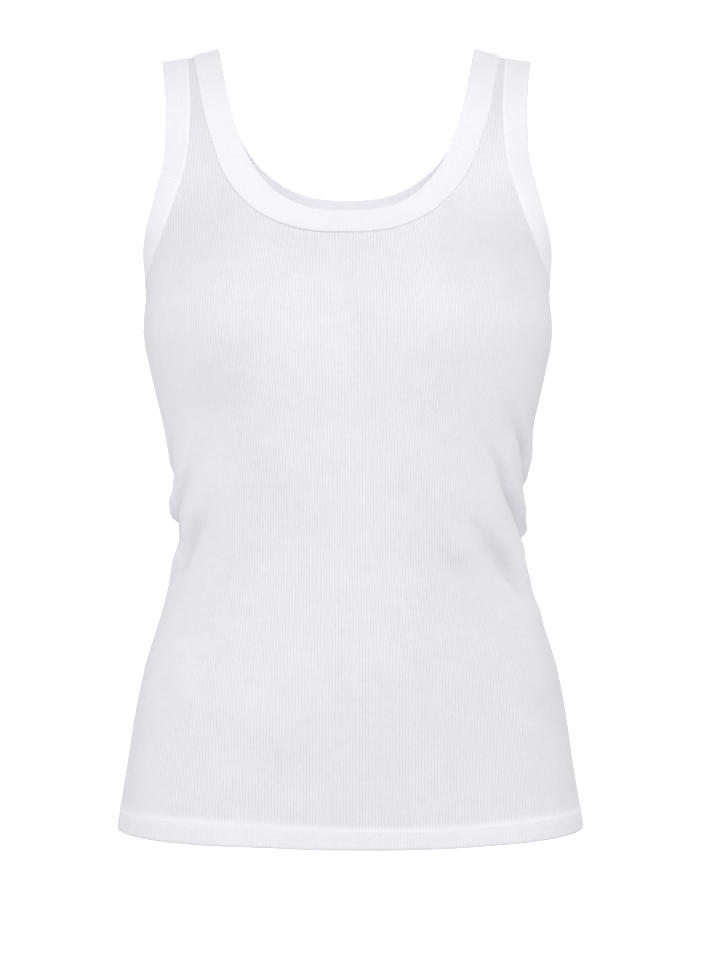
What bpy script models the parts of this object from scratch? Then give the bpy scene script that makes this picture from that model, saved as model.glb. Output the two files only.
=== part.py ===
"""Tank top: two ribbed panels sewn at the sides and shoulders, with a binding round the neck and each armhole.

Metres, +Z up. The front faces -Y and the wearer's left is +X. The origin is where the shoulders hold the straps,
midway between the two strap crests. Heights in the tables are above the hem's edge.

The cloth lies on one smooth form. A place on that form is (turn, level): turn is the angle round the section from
its centre, and level runs from -1 at the front hem through 0 at the shoulder crest to 1 at the back hem.
"""

import math
from collections import namedtuple

import bmesh
import bpy
import numpy as np

# Form of the filled garment
CREST_HEIGHT = 0.596  # middle of a strap's crest above the hem
CREST_HALF_WIDTH = 0.120  # from the centre to the middle of a strap
CREST_SLOPE = 0.21  # how far the shoulder line falls for each metre outwards
SLOPE_REACH = 0.5  # the level at which the shoulder's slope has faded out
ROUNDNESS = 2.3  # exponent of the section's curve: 2 is an ellipse
STRAP_THICKNESS = 0.0015  # from the form down to what holds the straps up
HOLD_HEIGHT = CREST_HEIGHT - STRAP_THICKNESS

# Fullness over the bust, one soft swelling each side that merge in the middle
BUST_HEIGHT = 0.386
BUST_APART = 0.072
BUST_RISE = 0.006
BUST_WIDTH = 0.050
BUST_TALL = 0.050

# Cloth
CLOTH = 0.0012  # from the foot of the ribs to the plain inside
RIB_RISE = 0.0005
HEM_FOLD = 0.0010  # what the turned-up layer adds inside
HEM_DEPTH = 0.0155
HEM_STEP = 0.0015
SEAM_GAP = 0.0003
NECK_BAND = (0.0172, 0.0202)  # width of the neck binding at the centre and on the straps
ARM_BAND = (0.0185, 0.0200)  # width of an armhole binding under the arm and on the straps
LEAN = 0.0052  # how far the garment drifts to the wearer's left for each metre down

# Ribs: each raised rib stands for two or three of the real knit
RIBS_PER_PANEL = 72
COLUMNS = 2 * RIBS_PER_PANEL  # a crest and a valley for each rib
STRAP_COLUMNS = 4  # columns between the two bindings at the crest

Section = namedtuple("Section", "height half_width front back gather")
SECTIONS = (
    Section(0.000, 0.1790, 0.1165, 0.116, 0.16),
    Section(0.045, 0.1715, 0.1150, 0.118, 0.12),
    Section(0.090, 0.1650, 0.1110, 0.115, 0.06),
    Section(0.130, 0.1565, 0.1055, 0.108, 0.02),
    Section(0.156, 0.1480, 0.1005, 0.101, 0.00),
    Section(0.177, 0.1420, 0.0970, 0.095, 0.00),
    Section(0.200, 0.1375, 0.0940, 0.089, 0.00),
    Section(0.225, 0.1355, 0.0925, 0.085, 0.00),
    Section(0.266, 0.1365, 0.0935, 0.083, 0.00),
    Section(0.305, 0.1422, 0.0985, 0.087, 0.00),
    Section(0.345, 0.1513, 0.1060, 0.093, 0.00),
    Section(0.380, 0.1578, 0.1115, 0.098, 0.02),
    Section(0.410, 0.1562, 0.1120, 0.100, 0.06),
    Section(0.435, 0.1578, 0.1085, 0.100, 0.10),
    Section(0.465, 0.1660, 0.1015, 0.100, 0.14),
    Section(0.490, 0.1740, 0.0925, 0.099, 0.17),
    Section(0.515, 0.1800, 0.0810, 0.094, 0.17),
    Section(0.540, 0.1840, 0.0680, 0.083, 0.14),
    Section(0.565, 0.1860, 0.0510, 0.064, 0.09),
    Section(0.582, 0.1870, 0.0340, 0.043, 0.05),
    Section(0.596, 0.1870, 0.0000, 0.000, 0.03),
)

# Edges of the openings, from the centre or the underarm up to the crest
EdgePoint = namedtuple("EdgePoint", "height half_width")
FRONT_NECK = (
    EdgePoint(0.4650, 0.0000),
    EdgePoint(0.4680, 0.0326),
    EdgePoint(0.4767, 0.0480),
    EdgePoint(0.4986, 0.0690),
    EdgePoint(0.5280, 0.0820),
    EdgePoint(0.5570, 0.0900),
    EdgePoint(0.6005, 0.0985),
)
BACK_NECK = (
    EdgePoint(0.4955, 0.0000),
    EdgePoint(0.4975, 0.0300),
    EdgePoint(0.5045, 0.0500),
    EdgePoint(0.5185, 0.0700),
    EdgePoint(0.5320, 0.0810),
    EdgePoint(0.5540, 0.0905),
    EdgePoint(0.5770, 0.0955),
    EdgePoint(0.6005, 0.0985),
)
ARMHOLE = (
    EdgePoint(0.4330, 0.1577),
    EdgePoint(0.4445, 0.1550),
    EdgePoint(0.4600, 0.1505),
    EdgePoint(0.4810, 0.1438),
    EdgePoint(0.5020, 0.1380),
    EdgePoint(0.5310, 0.1352),
    EdgePoint(0.5710, 0.1375),
    EdgePoint(0.5915, 0.1417),
)

# Creases at the waist. around is 0 at the front centre, 1 at the wearer's left side seam, -1 at the right and
# 2 at the back centre; each trough runs from the side inwards and has a soft ridge under it.
Crease = namedtuple("Crease", "around height end_around end_height width depth")
CREASES = (
    Crease(-0.98, 0.232, -0.60, 0.293, 0.0100, 0.0050),
    Crease(-0.92, 0.193, -0.61, 0.244, 0.0095, 0.0028),
    Crease(-0.94, 0.288, -0.76, 0.312, 0.0090, 0.0020),
    Crease(0.96, 0.214, 0.61, 0.295, 0.0100, 0.0050),
    Crease(0.94, 0.264, 0.71, 0.313, 0.0090, 0.0024),
    Crease(0.95, 0.177, 0.50, 0.241, 0.0100, 0.0030),
    Crease(0.53, 0.185, 0.37, 0.207, 0.0080, 0.0010),
    Crease(-1.04, 0.228, -1.40, 0.290, 0.0105, 0.0044),
    Crease(-1.08, 0.194, -1.47, 0.238, 0.0100, 0.0026),
    Crease(1.05, 0.222, 1.36, 0.276, 0.0105, 0.0046),
    Crease(1.07, 0.184, 1.50, 0.223, 0.0100, 0.0024),
    Crease(1.10, 0.266, 1.44, 0.314, 0.0095, 0.0022),
)
CREASE_SPREAD = 0.186  # quarter girth at the waist, which turns around into metres
CREASE_INNER_SHARE = 0.35  # how deep a trough still is where it fades out
RIDGE_SHARE = 0.40
RIDGE_OFFSET = 1.7  # the ridge's distance from its trough, in trough widths

# Mesh layout
ROW_HEIGHTS = (
    0.0, HEM_DEPTH, HEM_DEPTH + HEM_STEP, 0.085, 0.145, 0.174, 0.190, 0.205, 0.220, 0.235, 0.251, 0.268, 0.287,
    0.310, 0.343, 0.378,
)
UPPER_SHARES = (0.30, 0.56, 0.78, 0.92, 1.0)
STRAP_SHARES = (0.50, 1.0)
CREST_SHARES = (0.30, 0.56, 0.79, 1.0)
PLAIN_ROWS = len(ROW_HEIGHTS) + len(UPPER_SHARES)
STRAP_ROWS = PLAIN_ROWS + len(STRAP_SHARES)
STRAP_OUTER_HEIGHT = 0.505  # where the outermost strap rib starts to run along the armhole
STRAP_INNER_HEIGHT = 0.553  # where the innermost one starts to run along the neck
STRAP_SPLIT = 0.70  # share of the way to the inner height that lies below the outer height
OUTER_BLEND = (0.470, 0.530)  # heights between which the ribs turn to follow the armhole
INNER_BLEND = (0.520, 0.553)  # heights between which the strap's ribs close up to fit between the bindings
INNER_STEP_SIDE = 3  # columns between those of the inside, near the side seams and in the middle
INNER_STEP_MIDDLE = 9
INNER_SIDE_SHARE = 0.62
CAP_SHARE = 0.5  # where the fan of faces under the inner rim changes from one column to the next
BAND_WIDENS = 0.6  # share of a half edge over which its binding widens
BAND_STATION = 0.0095  # least distance between two stations of a binding
TURN_SAMPLES = 201
LEVEL_SAMPLES = 1201
PATH_SAMPLES = 121
OFFSET_STEPS = 8
SLOPE_PASSES = 20  # to find the level of a height where the shoulder slopes
SHARP_ANGLE = math.radians(50)  # an edge folded more than this stays sharp
TINY = 1e-4

# A binding's section: share of its width from the panel to the opening, and height over the form
BandPoint = namedtuple("BandPoint", "across lift")
BAND_SECTION = (
    BandPoint(0.00, 0.0009),
    BandPoint(0.50, 0.0012),
    BandPoint(0.95, 0.0007),
    BandPoint(1.00, -0.0003),
    BandPoint(0.95, -0.0013),
    BandPoint(0.50, -0.0014),
    BandPoint(0.00, -0.0014),
)

Finish = namedtuple("Finish", "name colour roughness")
RIB_KNIT = Finish("white_rib_knit", (0.80, 0.80, 0.84, 1.0), 0.92)
BINDING_KNIT = Finish("white_binding_knit", (0.88, 0.88, 0.92, 1.0), 0.88)

FRONT = -1
BACK = 1


def smooth_curve(places, values):
    """A function through the points, smooth, that goes level past both ends."""
    places = np.asarray(places, float)
    values = np.asarray(values, float)
    slopes = np.gradient(values, places)

    def at(where):
        where = np.clip(where, places[0], places[-1])
        k = np.clip(np.searchsorted(places, where) - 1, 0, len(places) - 2)
        span = places[k + 1] - places[k]
        t = (where - places[k]) / span
        blend = t * t * (3 - 2 * t)
        start = t * (1 - t) ** 2 * slopes[k] * span
        end = t * t * (t - 1) * slopes[k + 1] * span
        return values[k] + blend * (values[k + 1] - values[k]) + start + end

    return at


def level_of(height):
    """How far down from the crest a height lies, 0 to 1."""
    return np.sqrt(np.clip(1 - np.asarray(height, float) / CREST_HEIGHT, 0, 1))


def section_curve(column):
    """One column of the section table as a function of how far down from the crest a section lies."""
    rows = sorted(SECTIONS, key=lambda row: -row.height)
    return smooth_curve([level_of(row.height) for row in rows], [getattr(row, column) for row in rows])


HALF_WIDTH = section_curve("half_width")
FRONT_DEPTH = section_curve("front")
BACK_DEPTH = section_curve("back")
GATHER = section_curve("gather")


def slope_fade(drop):
    """The share of the shoulder's slope that is left at a distance down from the crest."""
    return 0.5 * (1 + np.cos(math.pi * np.minimum(drop / SLOPE_REACH, 1)))


def form_point(turn, level):
    """The bare form, without creases."""
    turn, level = np.broadcast_arrays(np.asarray(turn, float), np.asarray(level, float))
    drop = np.abs(level)
    power = np.abs(np.sin(turn)) ** ROUNDNESS + np.abs(np.cos(turn)) ** ROUNDNESS
    reach = power ** (-1 / ROUNDNESS)
    x = HALF_WIDTH(drop) * reach * np.sin(turn)
    z = CREST_HEIGHT * (1 - drop**2)
    away = (np.abs(x) - BUST_APART) / BUST_WIDTH
    bust = BUST_RISE * np.exp(-(away**2) - ((z - BUST_HEIGHT) / BUST_TALL) ** 2)
    front = FRONT_DEPTH(drop) + bust
    depth = np.where(level < 0, -front, BACK_DEPTH(drop))
    z = z + CREST_SLOPE * (CREST_HALF_WIDTH - np.abs(x)) * slope_fade(drop)
    return np.stack([x, depth * reach * np.cos(turn), z - HOLD_HEIGHT], axis=-1)


def form_slopes(turn, level):
    """How the form's point moves with turn and with level."""
    across = form_point(turn + TINY, level) - form_point(turn - TINY, level)
    along = form_point(turn, level + TINY) - form_point(turn, level - TINY)
    return across / (2 * TINY), along / (2 * TINY)


def form_normal(turn, level):
    """The form's outward direction."""
    normal = np.cross(*form_slopes(turn, level))
    return normal / np.linalg.norm(normal, axis=-1, keepdims=True)


def crease_lift(around, height):
    """How far the creases move the cloth out, less than 0 in a trough."""
    total = np.zeros(np.broadcast(around, height).shape)
    for crease in CREASES:
        run = (crease.end_around - crease.around) * CREASE_SPREAD
        rise = crease.end_height - crease.height
        length = math.hypot(run, rise)
        run, rise = run / length, rise / length
        aside = (around - crease.around) * CREASE_SPREAD
        above = height - crease.height
        share = np.clip((aside * run + above * rise) / length, 0, 1)
        away = np.hypot(aside - share * length * run, above - share * length * rise)
        over = (above * run - aside * rise) * np.sign(run)
        depth = crease.depth * (1 - (1 - CREASE_INNER_SHARE) * share)
        trough = np.exp(-((away / crease.width) ** 2))
        ridge = np.exp(-(((over / crease.width) + RIDGE_OFFSET) ** 2) - ((away - np.abs(over)) / crease.width) ** 2)
        total += depth * (RIDGE_SHARE * ridge - trough)
    return total


def around_of(rib, level):
    """Where a rib is round the garment, as the creases count it."""
    return np.where(level < 0, rib, np.sign(rib) * 2 - rib)


def cloth_point(turn, level, rib, lift):
    """A point of the cloth, lift over the foot of its ribs."""
    point = form_point(turn, level)
    height = point[..., 2] + HOLD_HEIGHT
    total = crease_lift(around_of(rib, level), height) + lift
    return point + form_normal(turn, level) * np.asarray(total)[..., None]


def place_on_form(edge_point, face):
    """(turn, level) of a point given by its height and half width."""
    drop = float(level_of(edge_point.height))
    for _ in range(SLOPE_PASSES):
        lean = CREST_SLOPE * (CREST_HALF_WIDTH - edge_point.half_width) * slope_fade(drop)
        drop = float(level_of(edge_point.height - lean))
    share = min(edge_point.half_width / float(HALF_WIDTH(drop)), 1.0)
    rest = (1 - share**ROUNDNESS) ** (1 / ROUNDNESS)
    return math.atan2(share, rest), face * drop


def opening_edge(points, face, mirror_turn):
    """The edge of an opening from its lowest point to the crest, at even steps, as rows of (turn, level).

    The curve is level where it crosses mirror_turn, and runs straight over the crest.
    """
    places = [place_on_form(point, face) for point in points]
    places[0] = (mirror_turn, places[0][1])
    places[-1] = (places[-1][0], 0.0)
    before = [(2 * mirror_turn - turn, level) for turn, level in places[1:3][::-1]]
    after = [(turn, -level) for turn, level in places[-3:-1][::-1]]
    every = np.array(before + places + after)
    spots = form_point(every[:, 0], every[:, 1])
    along = np.concatenate([[0], np.cumsum(np.linalg.norm(np.diff(spots, axis=0), axis=1))])
    turn, level = smooth_curve(along, every[:, 0]), smooth_curve(along, every[:, 1])
    at = np.linspace(along[2], along[-3], PATH_SAMPLES)
    return np.stack([turn(at), level(at)], axis=1)


def step_in(edge, distances, mirror_turn, inwards):
    """The edge moved over the form, away from its opening, by a distance for each of its samples."""
    path = edge.copy()
    step = distances[:, None] / OFFSET_STEPS
    for _ in range(OFFSET_STEPS):
        before = [[2 * mirror_turn - path[1, 0], path[1, 1]]]
        after = [[path[-2, 0], -path[-2, 1]]]
        spots = form_point(*np.concatenate([before, path, after]).T)
        run = spots[2:] - spots[:-2]
        run /= np.linalg.norm(run, axis=1, keepdims=True)
        across, along = form_slopes(path[:, 0], path[:, 1])
        aim = np.cross(form_normal(path[:, 0], path[:, 1]), run) * inwards
        metric = np.stack([across, along], axis=2)
        both = np.einsum("nij,nik->njk", metric, metric)
        push = np.einsum("nij,ni->nj", metric, aim)
        path = path + step * np.linalg.solve(both, push[..., None])[..., 0]
        path[0, 0] = mirror_turn
        path[-1, 1] = 0.0
    return path


class Opening:
    """One opening's half edge on one face: the path of its rim and the paths that lie inside it on the cloth."""

    def __init__(self, points, band, face, mirror_turn):
        self.mirror_turn = mirror_turn
        share = np.clip(np.linspace(0, 1, PATH_SAMPLES) / BAND_WIDENS, 0, 1)
        self.widths = band[0] + (band[1] - band[0]) * share * share * (3 - 2 * share)
        self.rim = opening_edge(points, face, mirror_turn)
        self.inwards = -face if mirror_turn > 0 else face
        self.panel_edge = self.inside(1.0, SEAM_GAP)

    def inside(self, share, gap=0.0):
        """The path that lies a share of the binding's width, and a gap, from the rim."""
        if share <= 0:
            return self.rim
        return step_in(self.rim, share * self.widths + gap, self.mirror_turn, self.inwards)

    def turn_at(self, drop):
        """The panel edge's turn at a level, or nan below the opening."""
        levels = np.abs(self.panel_edge[::-1, 1])
        return np.interp(drop, levels, self.panel_edge[::-1, 0], right=np.nan)

    def drop_at(self, turn):
        """The level at which the panel's edge, going up from its lowest point, first reaches a turn, or nan."""
        turns, levels = self.panel_edge[:, 0], np.abs(self.panel_edge[:, 1])
        if self.mirror_turn > 0:
            last = int(np.argmin(turns)) + 1
            turns, levels = turns[:last][::-1], levels[:last][::-1]
        return np.interp(turn, turns, levels, left=np.nan, right=np.nan)


class Face:
    """The front or the back: where each of its ribs runs, from the hem to its own top."""

    def __init__(self, face, neck_points):
        self.face = face
        self.neck = Opening(neck_points, NECK_BAND, face, 0.0)
        self.arm = Opening(ARMHOLE, ARM_BAND, face, math.pi / 2)
        self.drops = np.linspace(1, 0, LEVEL_SAMPLES)
        self.turns = np.linspace(0, math.pi / 2, TURN_SAMPLES)
        grid = form_point(self.turns[None, :], face * np.maximum(self.drops, TINY)[:, None])
        steps = np.linalg.norm(np.diff(grid, axis=1), axis=2)
        self.girths = np.concatenate([np.zeros((LEVEL_SAMPLES, 1)), np.cumsum(steps, axis=1)], axis=1)
        self.find_strap()
        self.runs = [self.rib_run(column) for column in range(COLUMNS // 2 + 1)]

    def girth_at(self, turns):
        """Distance round from the centre to a turn, at each level."""
        return np.array([np.interp(t, self.turns, row) for t, row in zip(turns, self.girths)])

    def find_strap(self):
        """The column that runs up along the armhole, and the girth of each edge where it has one."""
        self.arm_girth = self.girth_at(self.arm.turn_at(self.drops))
        self.neck_girth = self.girth_at(self.neck.turn_at(self.drops))
        touch = int(np.argmin(np.abs(self.drops - level_of(STRAP_OUTER_HEIGHT))))
        natural = np.array([self.natural_girth(column)[touch] for column in range(COLUMNS // 2 + 1)])
        nearest = int(np.argmin(np.abs(natural - self.arm_girth[touch])))
        self.strap_outer = nearest + nearest % 2
        self.strap_inner = self.strap_outer - STRAP_COLUMNS

    def natural_girth(self, column):
        """A rib's distance from the centre where the cloth is simply filled out."""
        rib = column / (COLUMNS / 2)
        whole = self.girths[:, -1] - SEAM_GAP / 2
        return whole * (rib - GATHER(self.drops) * math.sin(math.pi * rib) / math.pi)

    def rib_run(self, column):
        """(turn, level) of a column at every level, cut off at its top."""
        girth = self.natural_girth(column)
        pitch = self.girths[:, -1] / (COLUMNS / 2)
        blend = self.blend_over(OUTER_BLEND)
        beside = np.nan_to_num(self.arm_girth) + (column - self.strap_outer) * pitch
        girth = girth * (1 - blend) + beside * blend
        strap = self.strap_inner <= column <= self.strap_outer
        if strap:
            blend = self.blend_over(INNER_BLEND)
            share = (self.strap_outer - column) / STRAP_COLUMNS
            between = self.arm_girth * (1 - share) + self.neck_girth * share
            girth = girth * (1 - blend) + np.nan_to_num(between) * blend
            girth = np.fmin(np.fmax(girth, self.neck_girth), self.arm_girth)
        turns = np.array([np.interp(g, row, self.turns) for g, row in zip(girth, self.girths)])
        if strap:
            return np.stack([turns, self.drops], axis=1)
        end = min(self.crossing(opening.drop_at(turns) - self.drops) for opening in (self.neck, self.arm))
        samples = np.append(np.arange(math.ceil(end)), end)
        every = np.arange(LEVEL_SAMPLES)
        return np.stack([np.interp(samples, every, turns), np.interp(samples, every, self.drops)], axis=1)

    def blend_over(self, heights):
        """0 below the first height, 1 above the second and smooth between, at each level."""
        low, high = (level_of(height) for height in heights)
        t = np.clip((low - self.drops) / (low - high), 0, 1)
        return t * t * (3 - 2 * t)

    def crossing(self, over):
        """The sample, as a fraction, at which a column first goes over an edge."""
        past = np.flatnonzero(np.nan_to_num(over, nan=-1.0) > 0)
        if not len(past):
            return LEVEL_SAMPLES - 1
        last = past[0]
        before, after = over[last - 1], over[last]
        return last - after / (after - before)

    def rows_of(self, column):
        """(turn, level) at each row of a column, from the hem up, and each row's share of the way."""
        run = self.runs[abs(column)]
        levels = list(level_of(np.array(ROW_HEIGHTS)))
        stretches = [(run[-1, 1], UPPER_SHARES)]
        if self.strap_inner <= abs(column) <= self.strap_outer:
            stretches = [
                (level_of(STRAP_OUTER_HEIGHT), UPPER_SHARES),
                (level_of(STRAP_INNER_HEIGHT), STRAP_SHARES),
                (self.seam_drop(run), CREST_SHARES),
            ]
        for end, shares in stretches:
            levels += self.levels_between(run, levels[-1], end, shares)
        levels = np.array(levels)
        turns = np.interp(-levels, -run[:, 1], run[:, 0])
        return np.stack([turns * (-1 if column < 0 else 1), levels * self.face], axis=1)

    def seam_drop(self, run):
        """The level at which a panel stops, half a gap short of the shoulder seam."""
        turn = run[-1, 0]
        slope = np.linalg.norm(form_point(turn, self.face * TINY) - form_point(turn, 0.0)) / TINY
        return SEAM_GAP / 2 / slope

    def levels_between(self, run, start, end, shares):
        """Levels that part the way along a run by the given shares of its length."""
        fine = np.linspace(start, end, PATH_SAMPLES)
        turns = np.interp(-fine, -run[:, 1], run[:, 0])
        spots = form_point(turns, self.face * fine)
        along = np.concatenate([[0], np.cumsum(np.linalg.norm(np.diff(spots, axis=0), axis=1))])
        return list(np.interp(np.array(shares) * along[-1], along, fine))


def new_collection(name):
    """A collection of that name in the scene."""
    collection = bpy.data.collections.new(name)
    bpy.context.scene.collection.children.link(collection)
    return collection


def make_material(finish):
    """The material of a finish."""
    material = bpy.data.materials.new(finish.name)
    material.use_nodes = True
    shader = material.node_tree.nodes["Principled BSDF"]
    shader.inputs["Base Color"].default_value = finish.colour
    shader.inputs["Roughness"].default_value = finish.roughness
    shader.inputs["Metallic"].default_value = 0.0
    material.diffuse_color = finish.colour
    return material


def make_object(name, mesh_builder, material, collection):
    """A named object from a bmesh, with the garment's lean and its faces turned outwards."""
    for vertex in mesh_builder.verts:
        vertex.co.x -= LEAN * vertex.co.z
    bmesh.ops.recalc_face_normals(mesh_builder, faces=mesh_builder.faces)
    mesh = bpy.data.meshes.new(name)
    mesh_builder.to_mesh(mesh)
    mesh_builder.free()
    mesh.shade_smooth()
    mesh.set_sharp_from_angle(angle=SHARP_ANGLE)
    mesh.materials.append(material)
    piece = bpy.data.objects.new(name, mesh)
    collection.objects.link(piece)
    return piece


def zip_runs(builder, first, first_shares, second, second_shares):
    """Fills between two runs of vertices, a quad where their shares agree and a triangle elsewhere."""
    i = j = 0
    while i < len(first) - 1 or j < len(second) - 1:
        next_first = first_shares[i + 1] if i < len(first) - 1 else math.inf
        next_second = second_shares[j + 1] if j < len(second) - 1 else math.inf
        if abs(next_first - next_second) < TINY:
            builder.faces.new((first[i], second[j], second[j + 1], first[i + 1]))
            i, j = i + 1, j + 1
        elif next_first < next_second:
            builder.faces.new((first[i], second[j], first[i + 1]))
            i += 1
        else:
            builder.faces.new((first[i], second[j], second[j + 1]))
            j += 1


def row_shares(vertices):
    """How the rows of a column are matched with its neighbour's: by row, and by length above the shared rows."""
    last = len(ROW_HEIGHTS) - 1
    if len(vertices) == PLAIN_ROWS:
        return list(range(last + 1)) + [last + share for share in UPPER_SHARES]
    shares = [last + share * STRAP_SPLIT for share in UPPER_SHARES]
    shares += [last + STRAP_SPLIT + share * (1 - STRAP_SPLIT) for share in STRAP_SHARES]
    shares += [last + 1 + share for share in CREST_SHARES]
    return (list(range(last + 1)) + shares)[: len(vertices)]


def inner_columns(face):
    """The columns that the plain inside keeps."""
    half = COLUMNS // 2
    kept = {half, face.strap_inner, face.strap_outer}
    kept |= set(range(0, int(half * INNER_SIDE_SHARE), INNER_STEP_MIDDLE))
    kept |= set(range(half, int(half * INNER_SIDE_SHARE), -INNER_STEP_SIDE))
    for column in (face.strap_inner, face.strap_outer):
        kept -= {column - 1, column + 1}
    return sorted(kept | {-column for column in kept})


def build_panel(name, face, material, collection):
    """A panel: ribbed outside, plain inside, doubled hem, each column ending at its own edge."""
    builder = bmesh.new()
    half = COLUMNS // 2
    inside = inner_columns(face)
    outer, inner, rim = {}, {}, {}
    for column in range(-half, half + 1):
        places = face.rows_of(column)
        rib = column / half
        raised = RIB_RISE if (column + half) % 2 else 0.0
        spots = cloth_point(places[:, 0], places[:, 1], rib, raised)
        outer[column] = [builder.verts.new(spot) for spot in spots]
        depth = np.full(len(places), -CLOTH)
        depth[: ROW_HEIGHTS.index(HEM_DEPTH) + 1] -= HEM_FOLD
        spots = cloth_point(places[:, 0], places[:, 1], rib, depth)
        if column in inside:
            inner[column] = [builder.verts.new(spot) for spot in spots]
            rim[column] = inner[column]
        else:
            rim[column] = [builder.verts.new(spots[-1])]
    for a, b in zip(sorted(outer), sorted(outer)[1:]):
        first, second = beside_strap(outer, a, b, face)
        zip_runs(builder, first, row_shares(first), second, row_shares(second))
    for a, b in zip(inside, inside[1:]):
        first, second = beside_strap(inner, a, b, face)
        zip_runs(builder, first[:-1], row_shares(first)[:-1], second[:-1], row_shares(second)[:-1])
        between = [rim[column][-1] for column in range(a + 1, b)]
        top = [first[-1], *between, second[-1]]
        zip_runs(builder, [first[-2], second[-2]], [0, CAP_SHARE], top, np.linspace(0, 1, len(top)))
    zip_runs(builder, *rim_run(outer, face), *rim_run(rim, face))
    zip_runs(builder, *hem_run(outer), *hem_run(inner))
    for side in (-half, half):
        zip_runs(builder, outer[side], range(PLAIN_ROWS), inner[side], range(PLAIN_ROWS))
    return make_object(name, builder, material, collection)


def beside_strap(layer, a, b, face):
    """Two neighbouring columns, without the rows of the strap's outer ones that have no neighbour there."""
    first, second = layer[a], layer[b]
    near, far = min(abs(a), abs(b)), max(abs(a), abs(b))
    if near == face.strap_outer:
        return first[:PLAIN_ROWS], second[:PLAIN_ROWS]
    if far == face.strap_inner:
        return first[:STRAP_ROWS], second[:STRAP_ROWS]
    return first, second


def hem_run(layer):
    """The vertices of a panel's hem edge from one side seam to the other, and their columns."""
    columns = sorted(layer)
    return [layer[column][0] for column in columns], columns


def rim_run(layer, face):
    """The vertices of a panel's upper rim from one side seam to the other, and their shares of the way."""
    lowest = {face.strap_outer: PLAIN_ROWS - 1, face.strap_inner: STRAP_ROWS - 1}
    vertices, shares = [], []
    for column in sorted(layer):
        rising = layer[column][lowest.get(abs(column), -1) :]
        if (abs(column) == face.strap_inner) == (column < 0):
            rising = rising[::-1]
        vertices += rising
        shares += [column + k / len(rising) for k in range(len(rising))]
    return vertices, shares


def stations_on(opening, face, columns):
    """Shares along the opening's edge, from its lowest point to the crest, at which its binding has a station."""
    edge = opening.panel_edge
    places = [face.rows_of(column)[-1] for column in columns]
    if opening is face.arm:
        places += list(face.rows_of(face.strap_outer)[PLAIN_ROWS - 1 :])
    else:
        places += list(face.rows_of(face.strap_inner)[STRAP_ROWS - 1 :])
    spots = form_point(edge[:, 0], edge[:, 1])
    shares = [0.0]
    last = spots[0]
    for place in places:
        spot = form_point(place[0], place[1])
        nearest = nearest_share(spots, spot)
        if np.linalg.norm(spot - last) >= BAND_STATION and nearest < 1 - TINY:
            shares.append(nearest)
            last = spot
    if np.linalg.norm(last - spots[-1]) < BAND_STATION / 2:
        shares.pop()
    return shares + [1.0]


def nearest_share(spots, spot):
    """Share along a run of points at which it passes nearest a spot."""
    starts, steps = spots[:-1], np.diff(spots, axis=0)
    t = np.clip(((spot - starts) * steps).sum(axis=1) / (steps**2).sum(axis=1), 0, 1)
    gaps = np.linalg.norm(starts + t[:, None] * steps - spot, axis=1)
    k = int(np.argmin(gaps))
    return (k + t[k]) / (len(spots) - 1)


def band_rings(opening, face, columns, side):
    """The binding's sections along one half edge, from the lowest point to the crest."""
    stations = np.array(stations_on(opening, face, columns)) * (PATH_SAMPLES - 1)
    rings = []
    for point in BAND_SECTION:
        path = opening.inside(1 - point.across)
        turn = np.interp(stations, np.arange(PATH_SAMPLES), path[:, 0])
        level = np.interp(stations, np.arange(PATH_SAMPLES), path[:, 1])
        rings.append(form_point(turn * side, level) + form_normal(turn * side, level) * point.lift)
    return np.stack(rings, axis=1)


def build_loop(name, rings, material, collection):
    """A closed band from its sections in order."""
    builder = bmesh.new()
    rows = [[builder.verts.new(spot) for spot in ring] for ring in rings]
    for first, second in zip(rows, rows[1:] + rows[:1]):
        for k in range(len(first)):
            n = (k + 1) % len(first)
            builder.faces.new((first[k], first[n], second[n], second[k]))
    return make_object(name, builder, material, collection)


def build_neck_binding(front, back, material, collection):
    """The neck's binding: up the front to the left crest, round the back and up the right side again."""
    halves = []
    for face in (front, back):
        columns = range(1, face.strap_inner)
        halves.append({side: list(band_rings(face.neck, face, columns, side)) for side in (1, -1)})
    front_half, back_half = halves
    rings = front_half[1] + back_half[1][-2::-1] + back_half[-1][1:] + front_half[-1][-2:0:-1]
    return build_loop("neck_binding", rings, material, collection)


def build_armhole_binding(name, side, front, back, material, collection):
    """One armhole's binding: from under the arm up the front to the crest and down the back."""
    halves = []
    for face in (front, back):
        columns = range(COLUMNS // 2 - 1, face.strap_outer, -1)
        halves.append(list(band_rings(face.arm, face, columns, side)))
    rings = halves[0] + halves[1][-2:0:-1]
    return build_loop(name, rings, material, collection)


def main():
    """Builds every piece of the tank top."""
    for thing in list(bpy.data.objects):
        bpy.data.objects.remove(thing, do_unlink=True)
    collection = new_collection("tank_top")
    rib_knit = make_material(RIB_KNIT)
    binding_knit = make_material(BINDING_KNIT)
    front = Face(FRONT, FRONT_NECK)
    back = Face(BACK, BACK_NECK)
    build_panel("front_panel", front, rib_knit, collection)
    build_panel("back_panel", back, rib_knit, collection)
    build_neck_binding(front, back, binding_knit, collection)
    build_armhole_binding("armhole_binding_left", 1, front, back, binding_knit, collection)
    build_armhole_binding("armhole_binding_right", -1, front, back, binding_knit, collection)


main()
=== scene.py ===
"""White rib-knit tank top, filled out as worn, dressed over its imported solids.

Metres, +Z up; the front faces -Y and the wearer's left is +X. Heights in the tables are above the
hem's edge. The cloth lies on one smooth form. A place on it is (turn, level): turn is the angle
round the section from its centre, and level runs from -1 at the front hem through 0 at the
shoulder crest to 1 at the back hem, and a little past both in the hem's fold.
"""

from __future__ import annotations

import logging
import math
from collections.abc import Callable
from dataclasses import dataclass, field
from enum import Enum

import bmesh
import bpy
import numpy as np
from mathutils import Matrix, Vector


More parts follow.
